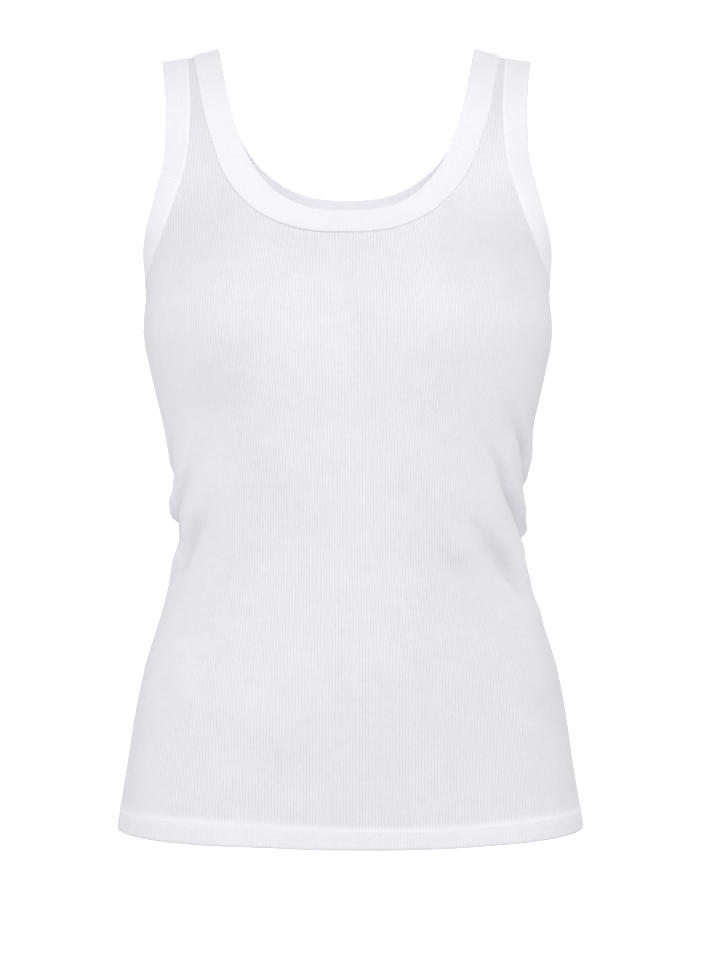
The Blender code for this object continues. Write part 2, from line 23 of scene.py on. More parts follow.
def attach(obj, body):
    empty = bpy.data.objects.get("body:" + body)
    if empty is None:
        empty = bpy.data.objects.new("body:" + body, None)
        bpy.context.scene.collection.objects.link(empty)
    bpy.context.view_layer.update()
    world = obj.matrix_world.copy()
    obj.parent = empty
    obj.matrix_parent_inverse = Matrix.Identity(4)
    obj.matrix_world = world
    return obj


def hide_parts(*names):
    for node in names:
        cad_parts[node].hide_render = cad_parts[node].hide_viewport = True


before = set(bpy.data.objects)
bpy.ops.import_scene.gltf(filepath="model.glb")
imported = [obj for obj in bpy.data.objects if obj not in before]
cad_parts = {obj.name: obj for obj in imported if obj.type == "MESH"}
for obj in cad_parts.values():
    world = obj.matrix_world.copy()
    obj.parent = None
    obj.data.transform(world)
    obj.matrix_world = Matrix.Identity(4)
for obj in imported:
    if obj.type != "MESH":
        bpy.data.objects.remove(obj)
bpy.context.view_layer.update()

log = logging.getLogger("tank_top")

CREST_HEIGHT = 0.595  # middle of a strap's crest above the hem
HOLD_HEIGHT = 0.5945  # the frame's origin above the hem
LEAN = 0.0052  # how far the garment drifts to the wearer's left for each metre down
HIP_SWAY = 0.0010  # how much further it drifts at the hips
SWAY_HEIGHT = 0.135  # where it drifts most, above the hem
SWAY_REACH = 0.055  # how far above and below that it is felt
SEAM_GAP = 0.00003  # between the front and the back at a side seam
UV_NAME = "knit"  # u counts ribs, v is metres along a rib
PAINTED_LIGHT_AND_TONE_NAME = "lighter"  # painted light and shade, with the hem's and stitch rows' own lighter tone: how much lighter the cloth is coloured than plain knit, darker below 0
GROOVE_SHADE_NAME = "groove"  # how strong the painted shade in the grooves between the ribs is
TINY = 1e-4  # the step for measuring how the form slopes
FAR = 9.0  # further off than any place on the garment
STITCH_FACES = 20  # of the icosphere that a stitch is made from


class Side(Enum):
    """Which half of the garment a panel is."""

    FRONT = -1
    BACK = 1


@dataclass(frozen=True)
class Section:
    """One level section of the form."""

    height: float
    half_width: float
    front: float  # depth from the garment's middle plane
    back: float
    gather: float  # how much closer the ribs lie towards the centre than at the sides


@dataclass(frozen=True)
class EdgePoint:
    """One point of an opening's edge."""

    height: float
    half_width: float  # distance from the garment's middle


@dataclass(frozen=True)
class Crease:
    """A soft trough, or a roll where its depth is less than 0, along a run of places on the cloth.

    A place is (around, height); around is 0 at the front's centre, 1 at the left side seam, -1 at
    the right one, and 2 or -2 at the back's centre.
    """

    path: tuple[tuple[float, float], ...]
    width: float
    depth: float
    start: float = 0.1  # shares of the depth at the path's ends
    end: float = 0.5
    peak: float = 0.6  # where along the path it is deepest
    roll: float = 0.35  # height of the ridge above it, as a share of the depth
    spread: float = 0.186  # metres to a quarter turn
    roll_offset: float = 1.7  # how far above it the ridge lies, in widths
    reach: float = 4.5  # how far off it is felt, in widths
    fineness: int = 5  # points of its smooth path to each point given

    def add_to(self, total: np.ndarray, around: np.ndarray, height: np.ndarray) -> None:
        """Adds the crease to a lift of the cloth.

        Args:
            total: how far the cloth is moved out so far, changed in place.
            around: place round the garment, in quarter turns from the front centre.
            height: height above the hem.
        """
        places = np.array(self.path) * (self.spread, 1.0)
        steps = lengths_along(places)
        even = np.linspace(0, steps[-1], self.fineness * len(steps))
        path = np.stack([smooth_curve(steps, column)(even) for column in places.T], axis=1)
        aside, room = around * self.spread, self.reach * self.width
        near = np.abs(aside - (path[0, 0] + path[-1, 0]) / 2) < np.ptp(path[:, 0]) / 2 + room
        near &= (height > path[:, 1].min() - room) & (height < path[:, 1].max() + room)
        total[near] += self.lift(path, aside[near], height[near])

    def lift(self, path: np.ndarray, aside: np.ndarray, height: np.ndarray) -> np.ndarray:
        """How far the crease moves the cloth out, less than 0 in a trough.

        Args:
            path: the crease's middle line in metres.
            aside: metres round the garment from the front centre.
            height: height above the hem.

        Returns:
            The lift at each place.
        """
        along = lengths_along(path)
        nearest = np.full(aside.shape, FAR)
        over, share = np.zeros(aside.shape), np.zeros(aside.shape)
        for start, end, before in zip(path, path[1:], along):
            length = math.dist(start, end)
            run, rise = (end - start) / length
            right, above = aside - start[0], height - start[1]
            done = np.clip((right * run + above * rise) / length, 0, 1)
            away = np.hypot(right - done * length * run, above - done * length * rise)
            closer = away < nearest
            nearest = np.where(closer, away, nearest)
            over = np.where(closer, (above * run - right * rise) * np.sign(run), over)
            share = np.where(closer, (before + done * length) / along[-1], share)
        rising = blend(self.start, 1, share / self.peak)
        falling = blend(self.end, 1, (1 - share) / (1 - self.peak))
        roll = bell(over - self.roll_offset * self.width, self.width)
        roll = roll * bell(np.maximum(nearest - np.abs(over), 0), self.width) * self.roll
        return self.depth * np.minimum(rising, falling) * (roll - bell(nearest, self.width))


@dataclass(frozen=True)
class PaintedPatch:
    """A soft patch of painted light, or of painted shade where its value is less than 0."""

    around: float  # its middle, given as a crease's places are
    height: float
    reach_around: float
    reach_height: float
    lighter: float

    def over(self, around: np.ndarray, height: np.ndarray) -> np.ndarray:
        """How much painted light the patch adds at each place, painted shade below 0."""
        across = bell(around - self.around, self.reach_around)
        return self.lighter * (across * bell(height - self.height, self.reach_height))


PAINTED_LIGHT_AND_SHADE = (  # around, height, the reach of each, and how much painted light, painted shade below 0
    PaintedPatch(-0.45, 0.478, 0.28, 0.055, -0.38),
    PaintedPatch(-0.14, 0.333, 0.45, 0.065, 0.26),
    PaintedPatch(0.55, 0.105, 0.50, 0.090, -0.24),
    PaintedPatch(-0.50, 0.343, 0.17, 0.032, -0.30),
    PaintedPatch(-0.50, 0.200, 0.22, 0.060, -0.18),
    PaintedPatch(0.52, 0.215, 0.22, 0.055, -0.24),
    PaintedPatch(-0.86, 0.300, 0.20, 0.090, 0.26),
    PaintedPatch(0.86, 0.435, 0.18, 0.035, 0.28),
    PaintedPatch(0.82, 0.194, 0.16, 0.030, 0.24),
    PaintedPatch(0.00, 0.435, 0.55, 0.032, -0.16),
)

SECTIONS = (  # height, half width, depths to the front and the back, gather
    Section(0.000, 0.1803, 0.1165, 0.116, 0.150),
    Section(0.045, 0.1726, 0.1150, 0.118, 0.140),
    Section(0.090, 0.1658, 0.1110, 0.115, 0.110),
    Section(0.130, 0.1574, 0.1055, 0.108, 0.070),
    Section(0.156, 0.1488, 0.1005, 0.101, 0.045),
    Section(0.177, 0.1424, 0.0970, 0.095, 0.025),
    Section(0.200, 0.1375, 0.0940, 0.089, 0.010),
    Section(0.225, 0.1355, 0.0925, 0.085, 0.000),
    Section(0.266, 0.1365, 0.0935, 0.083, 0.000),
    Section(0.305, 0.1422, 0.0985, 0.087, 0.000),
    Section(0.345, 0.1513, 0.1060, 0.093, 0.000),
    Section(0.380, 0.1578, 0.1115, 0.098, 0.020),
    Section(0.410, 0.1556, 0.1120, 0.100, 0.040),
    Section(0.435, 0.1567, 0.1085, 0.100, 0.090),
    Section(0.465, 0.1652, 0.1015, 0.100, 0.170),
    Section(0.490, 0.1740, 0.0925, 0.099, 0.240),
    Section(0.515, 0.1800, 0.0810, 0.094, 0.230),
    Section(0.540, 0.1840, 0.0680, 0.083, 0.140),
    Section(0.565, 0.1860, 0.0510, 0.064, 0.090),
    Section(0.582, 0.1870, 0.0340, 0.043, 0.050),
    Section(0.596, 0.1870, 0.0000, 0.000, 0.030),
)

FRONT_NECK = (
    EdgePoint(0.4642, 0.0000),
    EdgePoint(0.4684, 0.0330),
    EdgePoint(0.4762, 0.0480),
    EdgePoint(0.4986, 0.0682),
    EdgePoint(0.5280, 0.0810),
    EdgePoint(0.5570, 0.0892),
    EdgePoint(0.6005, 0.0985),
)
BACK_NECK = (
    EdgePoint(0.4962, 0.0000),
    EdgePoint(0.4987, 0.0300),
    EdgePoint(0.5060, 0.0500),
    EdgePoint(0.5205, 0.0700),
    EdgePoint(0.5340, 0.0810),
    EdgePoint(0.5550, 0.0905),
    EdgePoint(0.5770, 0.0955),
    EdgePoint(0.6005, 0.0985),
)
ARMHOLE = (
    EdgePoint(0.4330, 0.1577),
    EdgePoint(0.4445, 0.1550),
    EdgePoint(0.4600, 0.1505),
    EdgePoint(0.4810, 0.1438),
    EdgePoint(0.5020, 0.1380),
    EdgePoint(0.5310, 0.1362),
    EdgePoint(0.5710, 0.1388),
    EdgePoint(0.5915, 0.1430),
)

CREASES = (  # path, width and depth, and then start, end, peak and roll
    Crease(((-0.72, 0.317), (-0.84, 0.294), (-0.88, 0.277), (-1.00, 0.270), (-1.12, 0.274),
            (-1.30, 0.281)), 0.0060, 0.0020, 0.2, 0.05, 0.40, 0.1),
    Crease(((-0.92, 0.250), (-1.00, 0.249), (-1.16, 0.255)), 0.0080, -0.0030, 0.3, 0.3, 0.35, 0.0),
    Crease(((-0.57, 0.293), (-0.68, 0.279), (-0.74, 0.266), (-0.81, 0.253), (-0.89, 0.238),
            (-1.00, 0.229), (-1.12, 0.227), (-1.30, 0.232)),
           0.0050, 0.0040, 0.1, 0.05, 0.50, 0.45),
    Crease(((-0.84, 0.2240), (-1.00, 0.2235), (-1.22, 0.2270), (-1.38, 0.2330)),
           0.0110, 0.0064, 0.5, 0.05, 0.32, 0.0),
    Crease(((-0.57, 0.249), (-0.64, 0.235), (-0.69, 0.228), (-0.74, 0.215), (-0.79, 0.202),
            (-0.86, 0.192)), 0.0085, 0.0050, 0.2, 0.2, 0.6, 0.2),
    Crease(((0.62, 0.320), (0.70, 0.308), (0.765, 0.298), (0.83, 0.286), (0.88, 0.272),
            (0.94, 0.262), (1.00, 0.259), (1.10, 0.257), (1.28, 0.262)),
           0.0046, 0.0060, 0.1, 0.05, 0.37, 0.1),
    Crease(((0.78, 0.290), (1.00, 0.285), (1.16, 0.286)), 0.0140, -0.0032, 0.3, 0.4, 0.55, 0.0),
    Crease(((0.54, 0.299), (0.58, 0.289), (0.645, 0.277), (0.71, 0.259), (0.775, 0.246),
            (0.84, 0.233), (0.93, 0.223), (1.00, 0.220), (1.12, 0.219), (1.30, 0.224)),
           0.0044, 0.0062, 0.1, 0.05, 0.41, 0.45),
    Crease(((0.92, 0.246), (1.00, 0.244), (1.14, 0.240)), 0.0090, -0.0018, 0.3, 0.3, 0.4, 0.0),
    Crease(((0.94, 0.208), (1.00, 0.206), (1.15, 0.208)), 0.0070, 0.0018, 0.3, 0.3, 0.4, 0.0),
    Crease(((0.90, 0.168), (1.00, 0.167), (1.15, 0.168)), 0.0080, -0.0020, 0.3, 0.3, 0.4, 0.0),
    Crease(((0.45, 0.243), (0.52, 0.232), (0.57, 0.224), (0.66, 0.210), (0.74, 0.196),
            (0.83, 0.182), (0.92, 0.172)), 0.0090, 0.0068, 0.1, 0.15, 0.65, 0.2),
    Crease(((0.36, 0.212), (0.43, 0.201), (0.49, 0.192)), 0.0080, 0.0017, 0.3, 0.3, 0.5),
    Crease(((-1.04, 0.231), (-1.20, 0.258), (-1.40, 0.290)), 0.0085, 0.0058, 0.7, 0.1, 0.2),
    Crease(((-1.10, 0.196), (-1.28, 0.211), (-1.47, 0.238)), 0.0080, 0.0044, 0.3, 0.1, 0.4),
    Crease(((-1.12, 0.284), (-1.22, 0.297), (-1.36, 0.318)), 0.0075, 0.0030, 0.5, 0.2, 0.4),
    Crease(((1.05, 0.221), (1.18, 0.243), (1.36, 0.276)), 0.0085, 0.0066, 0.5, 0.1, 0.3),
    Crease(((1.04, 0.180), (1.25, 0.194), (1.50, 0.223)), 0.0080, 0.0044, 0.3, 0.2, 0.4),
    Crease(((1.10, 0.268), (1.24, 0.292), (1.44, 0.316)), 0.0075, 0.0038, 0.4, 0.1, 0.3),
)


def smooth_curve(
    places: np.ndarray | list[float], values: np.ndarray | list[float]
) -> Callable[[np.ndarray], np.ndarray]:
    """A smooth function through the points that goes level past both ends.

    Args:
        places: where the values stand, rising.
        values: the value at each place.

    Returns:
        A function of an array of places.
    """
    places, values = np.asarray(places, float), np.asarray(values, float)
    slopes = np.gradient(values, places)

    def at(where: np.ndarray) -> np.ndarray:
        """Reads the curve.

        Args:
            where: places.

        Returns:
            The value at each place.
        """
        where = np.clip(where, places[0], places[-1])
        k = np.clip(np.searchsorted(places, where) - 1, 0, len(places) - 2)
        span = places[k + 1] - places[k]
        t = (where - places[k]) / span
        start = t * (1 - t) ** 2 * slopes[k] * span
        end = t * t * (t - 1) * slopes[k + 1] * span
        return values[k] + ease(t) * (values[k + 1] - values[k]) + start + end

    return at


def ease(t: np.ndarray | float) -> np.ndarray:
    """Goes smoothly from 0 to 1 as t does."""
    t = np.clip(t, 0, 1)
    return t * t * (3 - 2 * t)


def blend(start: float, end: float, share: np.ndarray | float) -> np.ndarray:
    """Goes smoothly from one value to another as the share goes from 0 to 1."""
    return start + (end - start) * ease(share)


def bell(distance: np.ndarray | float, width: float) -> np.ndarray:
    """A soft bump, 1 in the middle and nearly 0 two widths away."""
    return np.exp(-((distance / width) ** 2))


def level_of(height: np.ndarray) -> np.ndarray:
    """How far down from the crest a height lies: 0 there, 1 at the hem's edge, more below it."""
    return np.sqrt(np.maximum(1 - np.asarray(height, float) / CREST_HEIGHT, 0))


@dataclass
class WornForm:
    """The general figure's form that the cloth is filled out on."""

    roundness: float = 2.3  # of a section, where 2 is an ellipse
    strap_out: float = 0.120  # how far out the middle of a strap lies
    slope: float = 0.235
    bend: float = 2.8  # how much steeper the shoulder grows towards the neck
    bend_reach: tuple[float, float] = (-0.025, 0.022)  # how far out and in it bends
    dip: float = 0.0010  # how much lower a strap's middle lies for it
    slope_reach: float = 0.5  # the level where the shoulder's slope has faded
    bust_height: float = 0.386
    bust_apart: float = 0.072
    bust_rise: float = 0.006
    bust_size: float = 0.050
    place_rounds: int = 20  # rounds that find an edge point's level

    def __post_init__(self) -> None:
        """Turns the section table's columns into curves."""
        rows = sorted(SECTIONS, key=lambda row: -row.height)
        levels = [float(level_of(row.height)) for row in rows]
        self.half_width = smooth_curve(levels, [row.half_width for row in rows])
        self.front_depth = smooth_curve(levels, [row.front for row in rows])
        self.back_depth = smooth_curve(levels, [row.back for row in rows])
        self.gather = smooth_curve(levels, [row.gather for row in rows])

    def shoulder_rise(self, half_width: np.ndarray, drop: np.ndarray) -> np.ndarray:
        """How much higher a point lies than its level, which fades below the straps.

        Args:
            half_width: the point's distance from the garment's middle.
            drop: its level without the sign.

        Returns:
            The rise, less than 0 outside the strap's middle.
        """
        inwards = self.strap_out - half_width
        bent = self.bend * np.clip(inwards, *self.bend_reach) ** 2 - self.dip
        fade = 0.5 * (1 + np.cos(math.pi * np.minimum(drop / self.slope_reach, 1)))
        return (self.slope * inwards + bent) * fade

    def point(self, turn: np.ndarray, level: np.ndarray) -> np.ndarray:
        """Points of the bare form.

        Args:
            turn: angles round the section.
            level: signed levels.

        Returns:
            The points, with their three coordinates along the last axis.
        """
        turn, level = np.broadcast_arrays(np.asarray(turn, float), np.asarray(level, float))
        drop = np.abs(level)
        power = np.abs(np.sin(turn)) ** self.roundness + np.abs(np.cos(turn)) ** self.roundness
        reach = power ** (-1 / self.roundness)
        x = self.half_width(drop) * reach * np.sin(turn)
        z = CREST_HEIGHT * (1 - drop**2)
        bust = self.bust_rise * bell(np.abs(x) - self.bust_apart, self.bust_size)
        bust = bust * bell(z - self.bust_height, self.bust_size)
        depth = np.where(level < 0, -self.front_depth(drop) - bust, self.back_depth(drop))
        z = z + self.shoulder_rise(np.abs(x), drop)
        return np.stack([x, depth * reach * np.cos(turn), z - HOLD_HEIGHT], axis=-1)

    def slopes(self, turn: np.ndarray, level: np.ndarray) -> tuple[np.ndarray, np.ndarray]:
        """How the form's point moves with turn and with level.

        Args:
            turn: angles round the section.
            level: signed levels.

        Returns:
            Both rates, as vectors.
        """
        across = self.point(turn + TINY, level) - self.point(turn - TINY, level)
        along = self.point(turn, level + TINY) - self.point(turn, level - TINY)
        return across / (2 * TINY), along / (2 * TINY)

    def normal(self, turn: np.ndarray, level: np.ndarray) -> np.ndarray:
        """The form's outward direction."""
        normal = np.cross(*self.slopes(turn, level))
        return normal / np.linalg.norm(normal, axis=-1, keepdims=True)

    def crease_lift(self, around: np.ndarray, height: np.ndarray) -> np.ndarray:
        """How far the creases move the cloth out, less than 0 in a trough.

        Args:
            around: place round the garment, in quarter turns from the front centre.
            height: height above the hem.

        Returns:
            The lift at each place.
        """
        around, height = np.broadcast_arrays(around, height)
        total = np.zeros(around.shape)
        for crease in CREASES:
            crease.add_to(total, around, height)
        return total

    def cloth_point(
        self, turn: np.ndarray, level: np.ndarray, rib: np.ndarray, lift: np.ndarray
    ) -> np.ndarray:
        """Points of the cloth.

        Args:
            turn: angles round the section.
            level: signed levels.
            rib: which rib each point is on, 0 at the panel's centre, 1 at its left seam.
            lift: height over the foot of the ribs.

        Returns:
            The points with the creases and the garment's lean in them.
        """
        point = self.point(turn, level)
        total = self.crease_lift(round_place(rib, level), point[..., 2] + HOLD_HEIGHT) + lift
        point = point + self.normal(turn, level) * np.asarray(total)[..., None]
        return leaned(point)

    def place(self, edge_point: EdgePoint, face: int) -> tuple[float, float]:
        """Finds a point of an edge on the form.

        Args:
            edge_point: its height and half width.
            face: -1 for the front and 1 for the back.

        Returns:
            Its turn and level.
        """
        drop = float(level_of(edge_point.height))
        for _ in range(self.place_rounds):
            rise = self.shoulder_rise(edge_point.half_width, drop)
            drop = float(level_of(edge_point.height - rise))
        share = min(edge_point.half_width / float(self.half_width(drop)), 1.0)
        rest = (1 - share**self.roundness) ** (1 / self.roundness)
        return math.atan2(share, rest), face * drop


def round_place(rib: np.ndarray, level: np.ndarray) -> np.ndarray:
    """A rib's place round the garment, in quarter turns from the front centre."""
    return np.where(level < 0, rib, np.sign(rib) * 2 - rib)


def leaned(point: np.ndarray) -> np.ndarray:
    """Moves points to the wearer's left as they go down, and a little more at the hips.

    Args:
        point: points, with their coordinates along the last axis.

    Returns:
        The moved points.
    """
    point = point.copy()
    sway = HIP_SWAY * bell(point[..., 2] + HOLD_HEIGHT - SWAY_HEIGHT, SWAY_REACH)
    point[..., 0] += sway - LEAN * point[..., 2]
    return point


@dataclass
class HalfEdge:
    """Half an opening's edge on the front or the back, and the paths beside it on the cloth."""

    form: WornForm
    points: tuple[EdgePoint, ...]
    band: tuple[float, float]  # the binding's width at the lowest point and on the strap
    face: int  # -1 on the front and 1 on the back
    mirror_turn: float  # where the edge meets its mirror image
    bulge: float = 0.0  # how much wider the band is part of the way up
    bulge_place: tuple[float, float] = (0.34, 0.17)  # its middle and reach, as shares of the way
    samples: int = 161
    widens: float = 0.6  # share of the way up over which the band's width changes
    steps: int = 8  # steps in which a path is moved in from the rim

    def __post_init__(self) -> None:
        """Works out the rim's path."""
        share = np.linspace(0, 1, self.samples)
        self.widths = blend(*self.band, share / self.widens)
        self.widths += self.bulge * bell(share - self.bulge_place[0], self.bulge_place[1])
        self.inwards = -self.face if self.mirror_turn > 0 else self.face
        places = [self.form.place(point, self.face) for point in self.points]
        places[0] = (self.mirror_turn, places[0][1])
        places[-1] = (places[-1][0], 0.0)
        # two mirrored points past each end keep the curve smooth there
        before = [(2 * self.mirror_turn - turn, level) for turn, level in places[1:3][::-1]]
        after = [(turn, -level) for turn, level in places[-3:-1][::-1]]
        every = np.array(before + places + after)
        along = lengths_along(self.form.point(every[:, 0], every[:, 1]))
        at = np.linspace(along[2], along[-3], self.samples)
        columns = [smooth_curve(along, every[:, k])(at) for k in range(2)]
        self.rim = np.stack(columns, axis=1)

    def inside(self, share: float) -> np.ndarray:
        """The path that lies a share of the binding's width from the rim.

        Args:
            share: 0 at the rim and 1 at the binding's edge on the panel.

        Returns:
            Rows of (turn, level), from the lowest point up to the crest.
        """
        path = self.rim.copy()
        step = (share * self.widths)[:, None] / self.steps
        for _ in range(self.steps):
            before = [[2 * self.mirror_turn - path[1, 0], path[1, 1]]]
            after = [[path[-2, 0], -path[-2, 1]]]
            spots = self.form.point(*np.concatenate([before, path, after]).T)
            run = spots[2:] - spots[:-2]
            run /= np.linalg.norm(run, axis=1, keepdims=True)
            metric = np.stack(self.form.slopes(path[:, 0], path[:, 1]), axis=2)
            aim = np.cross(self.form.normal(path[:, 0], path[:, 1]), run) * self.inwards
            both = np.einsum("nij,nik->njk", metric, metric)
            push = np.einsum("nij,ni->nj", metric, aim)
            path = path + step * np.linalg.solve(both, push[..., None])[..., 0]
            path[0, 0] = self.mirror_turn
            path[-1, 1] = 0.0
        return path

    def turn_at(self, drop: np.ndarray, share: float) -> np.ndarray:
        """The turn of a path at each level, or nan below the opening."""
        path = self.inside(share)
        return np.interp(drop, np.abs(path[::-1, 1]), path[::-1, 0], right=np.nan)


def lengths_along(spots: np.ndarray) -> np.ndarray:
    """Distance from the first of a run of points to each of them."""
    return np.concatenate([[0], np.cumsum(np.linalg.norm(np.diff(spots, axis=0), axis=1))])


@dataclass
class Openings:
    """The edges of the neck and the armholes on both sides of the garment."""

    form: WornForm
    neck_band: tuple[float, float] = (0.0176, 0.0212)
    arm_band: tuple[float, float] = (0.0200, 0.0202)
    neck_bulges: tuple[float, float] = (0.0006, 0.0030)  # the band is wider on the wearer's right
    neck: dict[Side, HalfEdge] = field(init=False)
    neck_right: dict[Side, HalfEdge] = field(init=False)
    arm: dict[Side, HalfEdge] = field(init=False)

    def __post_init__(self) -> None:
        """Works out the half edges; the right armhole's are the left one's mirror images."""
        necks = {Side.FRONT: FRONT_NECK, Side.BACK: BACK_NECK}
        self.neck, self.neck_right = (
            {s: HalfEdge(self.form, necks[s], self.neck_band, s.value, 0.0, bulge) for s in Side}
            for bulge in self.neck_bulges
        )
        self.arm = {
            s: HalfEdge(self.form, ARMHOLE, self.arm_band, s.value, math.pi / 2) for s in Side
        }


def grid_mesh(columns: int, rows: int) -> bmesh.types.BMesh:
    """A flat grid whose vertices are told apart by the columns and rows they stand in.

    Args:
        columns: how many columns of vertices.
        rows: how many rows of vertices.

    Returns:
        The mesh, one unit square, with x rising by column and y by row.
    """
    mesh = bmesh.new()
    bmesh.ops.create_grid(mesh, x_segments=columns - 1, y_segments=rows - 1, size=0.5)
    return mesh


def settle(
    mesh: bmesh.types.BMesh,
    points: np.ndarray,
    uv: np.ndarray,
    lighter: np.ndarray,
    groove: np.ndarray,
) -> None:
    """Moves a grid's vertices to their places and gives them their knit coordinates.

    Args:
        mesh: the grid from grid_mesh.
        points: places, by column and row.
        uv: knit coordinates, by column and row.
        lighter: painted light and shade, with the hem's and stitch rows' own lighter tone, by
            column and row.
        groove: how strong the painted shade in the grooves is, by column and row.
    """
    columns, rows = points.shape[:2]
    layer = mesh.loops.layers.uv.new(UV_NAME)
    tone_and_painted_light = mesh.verts.layers.float.new(PAINTED_LIGHT_AND_TONE_NAME)
    grooves = mesh.verts.layers.float.new(GROOVE_SHADE_NAME)
    coordinates = {}
    for vertex in mesh.verts:
        column = round((vertex.co.x + 0.5) * (columns - 1))
        row = round((vertex.co.y + 0.5) * (rows - 1))
        vertex.co = points[column, row]
        vertex[tone_and_painted_light] = lighter[column, row]
        vertex[grooves] = groove[column, row]
        coordinates[vertex.index] = uv[column, row]
    for face in mesh.faces:
        for loop in face.loops:
            loop[layer].uv = coordinates[loop.vert.index]


def finished(
    name: str, mesh: bmesh.types.BMesh, material: bpy.types.Material, wall: float = 0.0
) -> bpy.types.Object:
    """Makes an object of a mesh.

    Args:
        name: the piece's name.
        mesh: its mesh, which is freed.
        material: its finish.
        wall: the cloth's thickness, laid on inside, or 0 for none.

    Returns:
        The piece, at the origin.
    """
    data = bpy.data.meshes.new(name)
    mesh.to_mesh(data)
    mesh.free()
    data.shade_smooth()
    data.materials.append(material)
    piece = bpy.data.objects.new(name, data)
    bpy.context.scene.collection.objects.link(piece)
    if wall:
        solid = piece.modifiers.new("wall", "SOLIDIFY")
        solid.thickness = wall
        solid.offset = -1.0
    return piece


@dataclass
class RibPanel:
    """The front or the back, cut in 1x1 rib with its hem turned up and its upper edges bound."""

    form: WornForm
    openings: Openings
    side: Side
    ribs: int = 180
    rib_points: int = 3  # mesh columns to a rib
    rib_rise: float = 0.00042
    wall: float = 0.0011
    hem: float = 0.0160
    hem_gap: float = 0.0002
    hem_press: float = 0.34  # the ribs' height in the hem, as a share of the panel's
    press_reach: float = 0.003
    hem_rows: tuple[float, float] = (0.0150, 0.0120)
    row_groove: tuple[float, float] = (0.00006, 0.0012)  # a stitch row's depth and reach
    row_crown: tuple[float, float] = (0.0003, 0.002)  # height and reach of the ridge between rows
    hem_line: tuple[tuple[float, float, float], ...] = (  # place, hem's width, rise of its edge
        (-1.0, 0.0178, 0.0012), (-0.8, 0.0174, 0.0012), (-0.5, 0.0184, 0.0012),
        (-0.3, 0.0167, 0.0014), (-0.1, 0.0162, 0.0003), (0.03, 0.0156, 0.0001),
        (0.17, 0.0154, 0.0000), (0.31, 0.0151, 0.0002), (0.45, 0.0159, 0.0008),
        (0.7, 0.0173, 0.0017), (1.0, 0.0160, 0.0022),
    )
    drift_fade: tuple[float, float] = (0.002, 0.022)  # where that fades, from the hem up
    fold: tuple[float, float] = (0.0012, 0.0024)  # height of the hem's fold, and how far it hangs
    fold_rows: int = 7
    inner_rows: int = 4
    low_rows: tuple[float, ...] = (0.002, 0.005, 0.008)
    row_aside: float = 0.0011  # mesh rows this far beside each stitch row
    above_hem: tuple[float, ...] = (0.0160, 0.0185, 0.0230)
    row_bands: tuple[tuple[float, float, int], ...] = (  # lowest and highest row, how many
        (0.033, 0.156, 9), (0.165, 0.200, 6), (0.2035, 0.283, 22),
        (0.287, 0.322, 7), (0.331, 0.430, 9), (0.438, 0.566, 18),
    )
    top_rows: tuple[float, ...] = (0.574, 0.581, 0.587, 0.591, 0.5935, 0.5947)
    top: float = 0.5949999
    seam_turn: tuple[float, float, float] = (0.0003, 0.0009, 0.0016)  # how an edge turns in
    tuck_share: float = 0.25  # how far into the binding the cut edge lies
    strap_height: float = 0.505
    strap_blend: tuple[float, float] = (0.470, 0.530)
    smooth: float = 0.70  # how much of the ribs' relief is stretched out at the sides
    smooth_from: tuple[float, float] = (0.36, 0.30)  # share of the way there, and its reach
    hip_ribs: tuple[float, float, float] = (0.18, 0.13, 0.08)  # further out below, height, reach
    chest_ribs: tuple[float, float, float] = (0.24, 0.34, 0.10)  # further out above, height, reach
    calm: float = 0.75  # how much of the relief is stretched out beside the left armhole
    calm_from: tuple[float, float] = (0.26, 0.16)  # share of the way to the seam, and its reach
    calm_height: tuple[float, float] = (0.452, 0.045)  # its middle and reach
    # painted shade beside the left armhole's front and the right's back, where the ribs are
    # stretched out
    calm_painted_shade: float = 0.30
    smooth_painted_shade: float = 0.18  # painted shade where the ribs are stretched out, in place of the grooves' painted shade that fades there
    crease_painted_shade: float = 75.0  # painted shade in a crease's trough, for each metre of its depth
    strap_painted_shade: tuple[float, float, float] = (0.75, 0.490, 0.085)  # painted shade on the straps: how much darker above, height, reach
    hem_light: tuple[float, float] = (0.08, 0.0008)  # lighter, up to this far over the upper row
    row_light: tuple[float, float] = (0.45, 0.0026)  # lighter between the rows, and its reach
    line_span: float = 0.99  # how far towards the side seams a stitch row runs
    line_points: int = 261
    line_rise: float = 0.55  # its height, as a share of the ribs'
    levels: int = 401
    turns: int = 201

    def __post_init__(self) -> None:
        """Measures the form's girth at each level."""
        self.drops = np.linspace(1, 0, self.levels)
        self.turn_grid = np.linspace(0, math.pi / 2, self.turns)
        away = self.side.value * np.maximum(self.drops, TINY)[:, None]
        grid = self.form.point(self.turn_grid[None, :], away)
        steps = np.linalg.norm(np.diff(grid, axis=1), axis=2)
        self.girths = np.pad(np.cumsum(steps, axis=1), ((0, 0), (1, 0)))

    def rib_turns(self, ribs: np.ndarray) -> np.ndarray:
        """Where each rib runs; over the bust the ribs turn to follow the armhole.

        Args:
            ribs: shares of the way from the centre to the left side seam, 0 to 1.

        Returns:
            Turns, by rib and level.
        """
        whole = self.girths[:, -1] - SEAM_GAP / 2
        gather = self.form.gather(self.drops)
        natural = whole * (ribs[:, None] - gather * np.sin(math.pi * ribs[:, None]) / math.pi)
        edge = self.openings.arm[self.side].turn_at(self.drops, 1.0)
        edge_girth = [np.interp(t, self.turn_grid, row) for t, row in zip(edge, self.girths)]
        touch = int(np.argmin(np.abs(self.drops - float(level_of(self.strap_height)))))
        strap_rib = float(np.interp(edge_girth[touch], natural[:, touch], ribs))
        beside = np.nan_to_num(edge_girth) + (ribs[:, None] - strap_rib) * self.girths[:, -1]
        low, high = (float(level_of(height)) for height in self.strap_blend)
        share = ease((low - self.drops) / (low - high))
        girth = natural * (1 - share) + beside * share
        pairs = zip(girth.T, self.girths)
        return np.array([np.interp(wanted, known, self.turn_grid) for wanted, known in pairs]).T

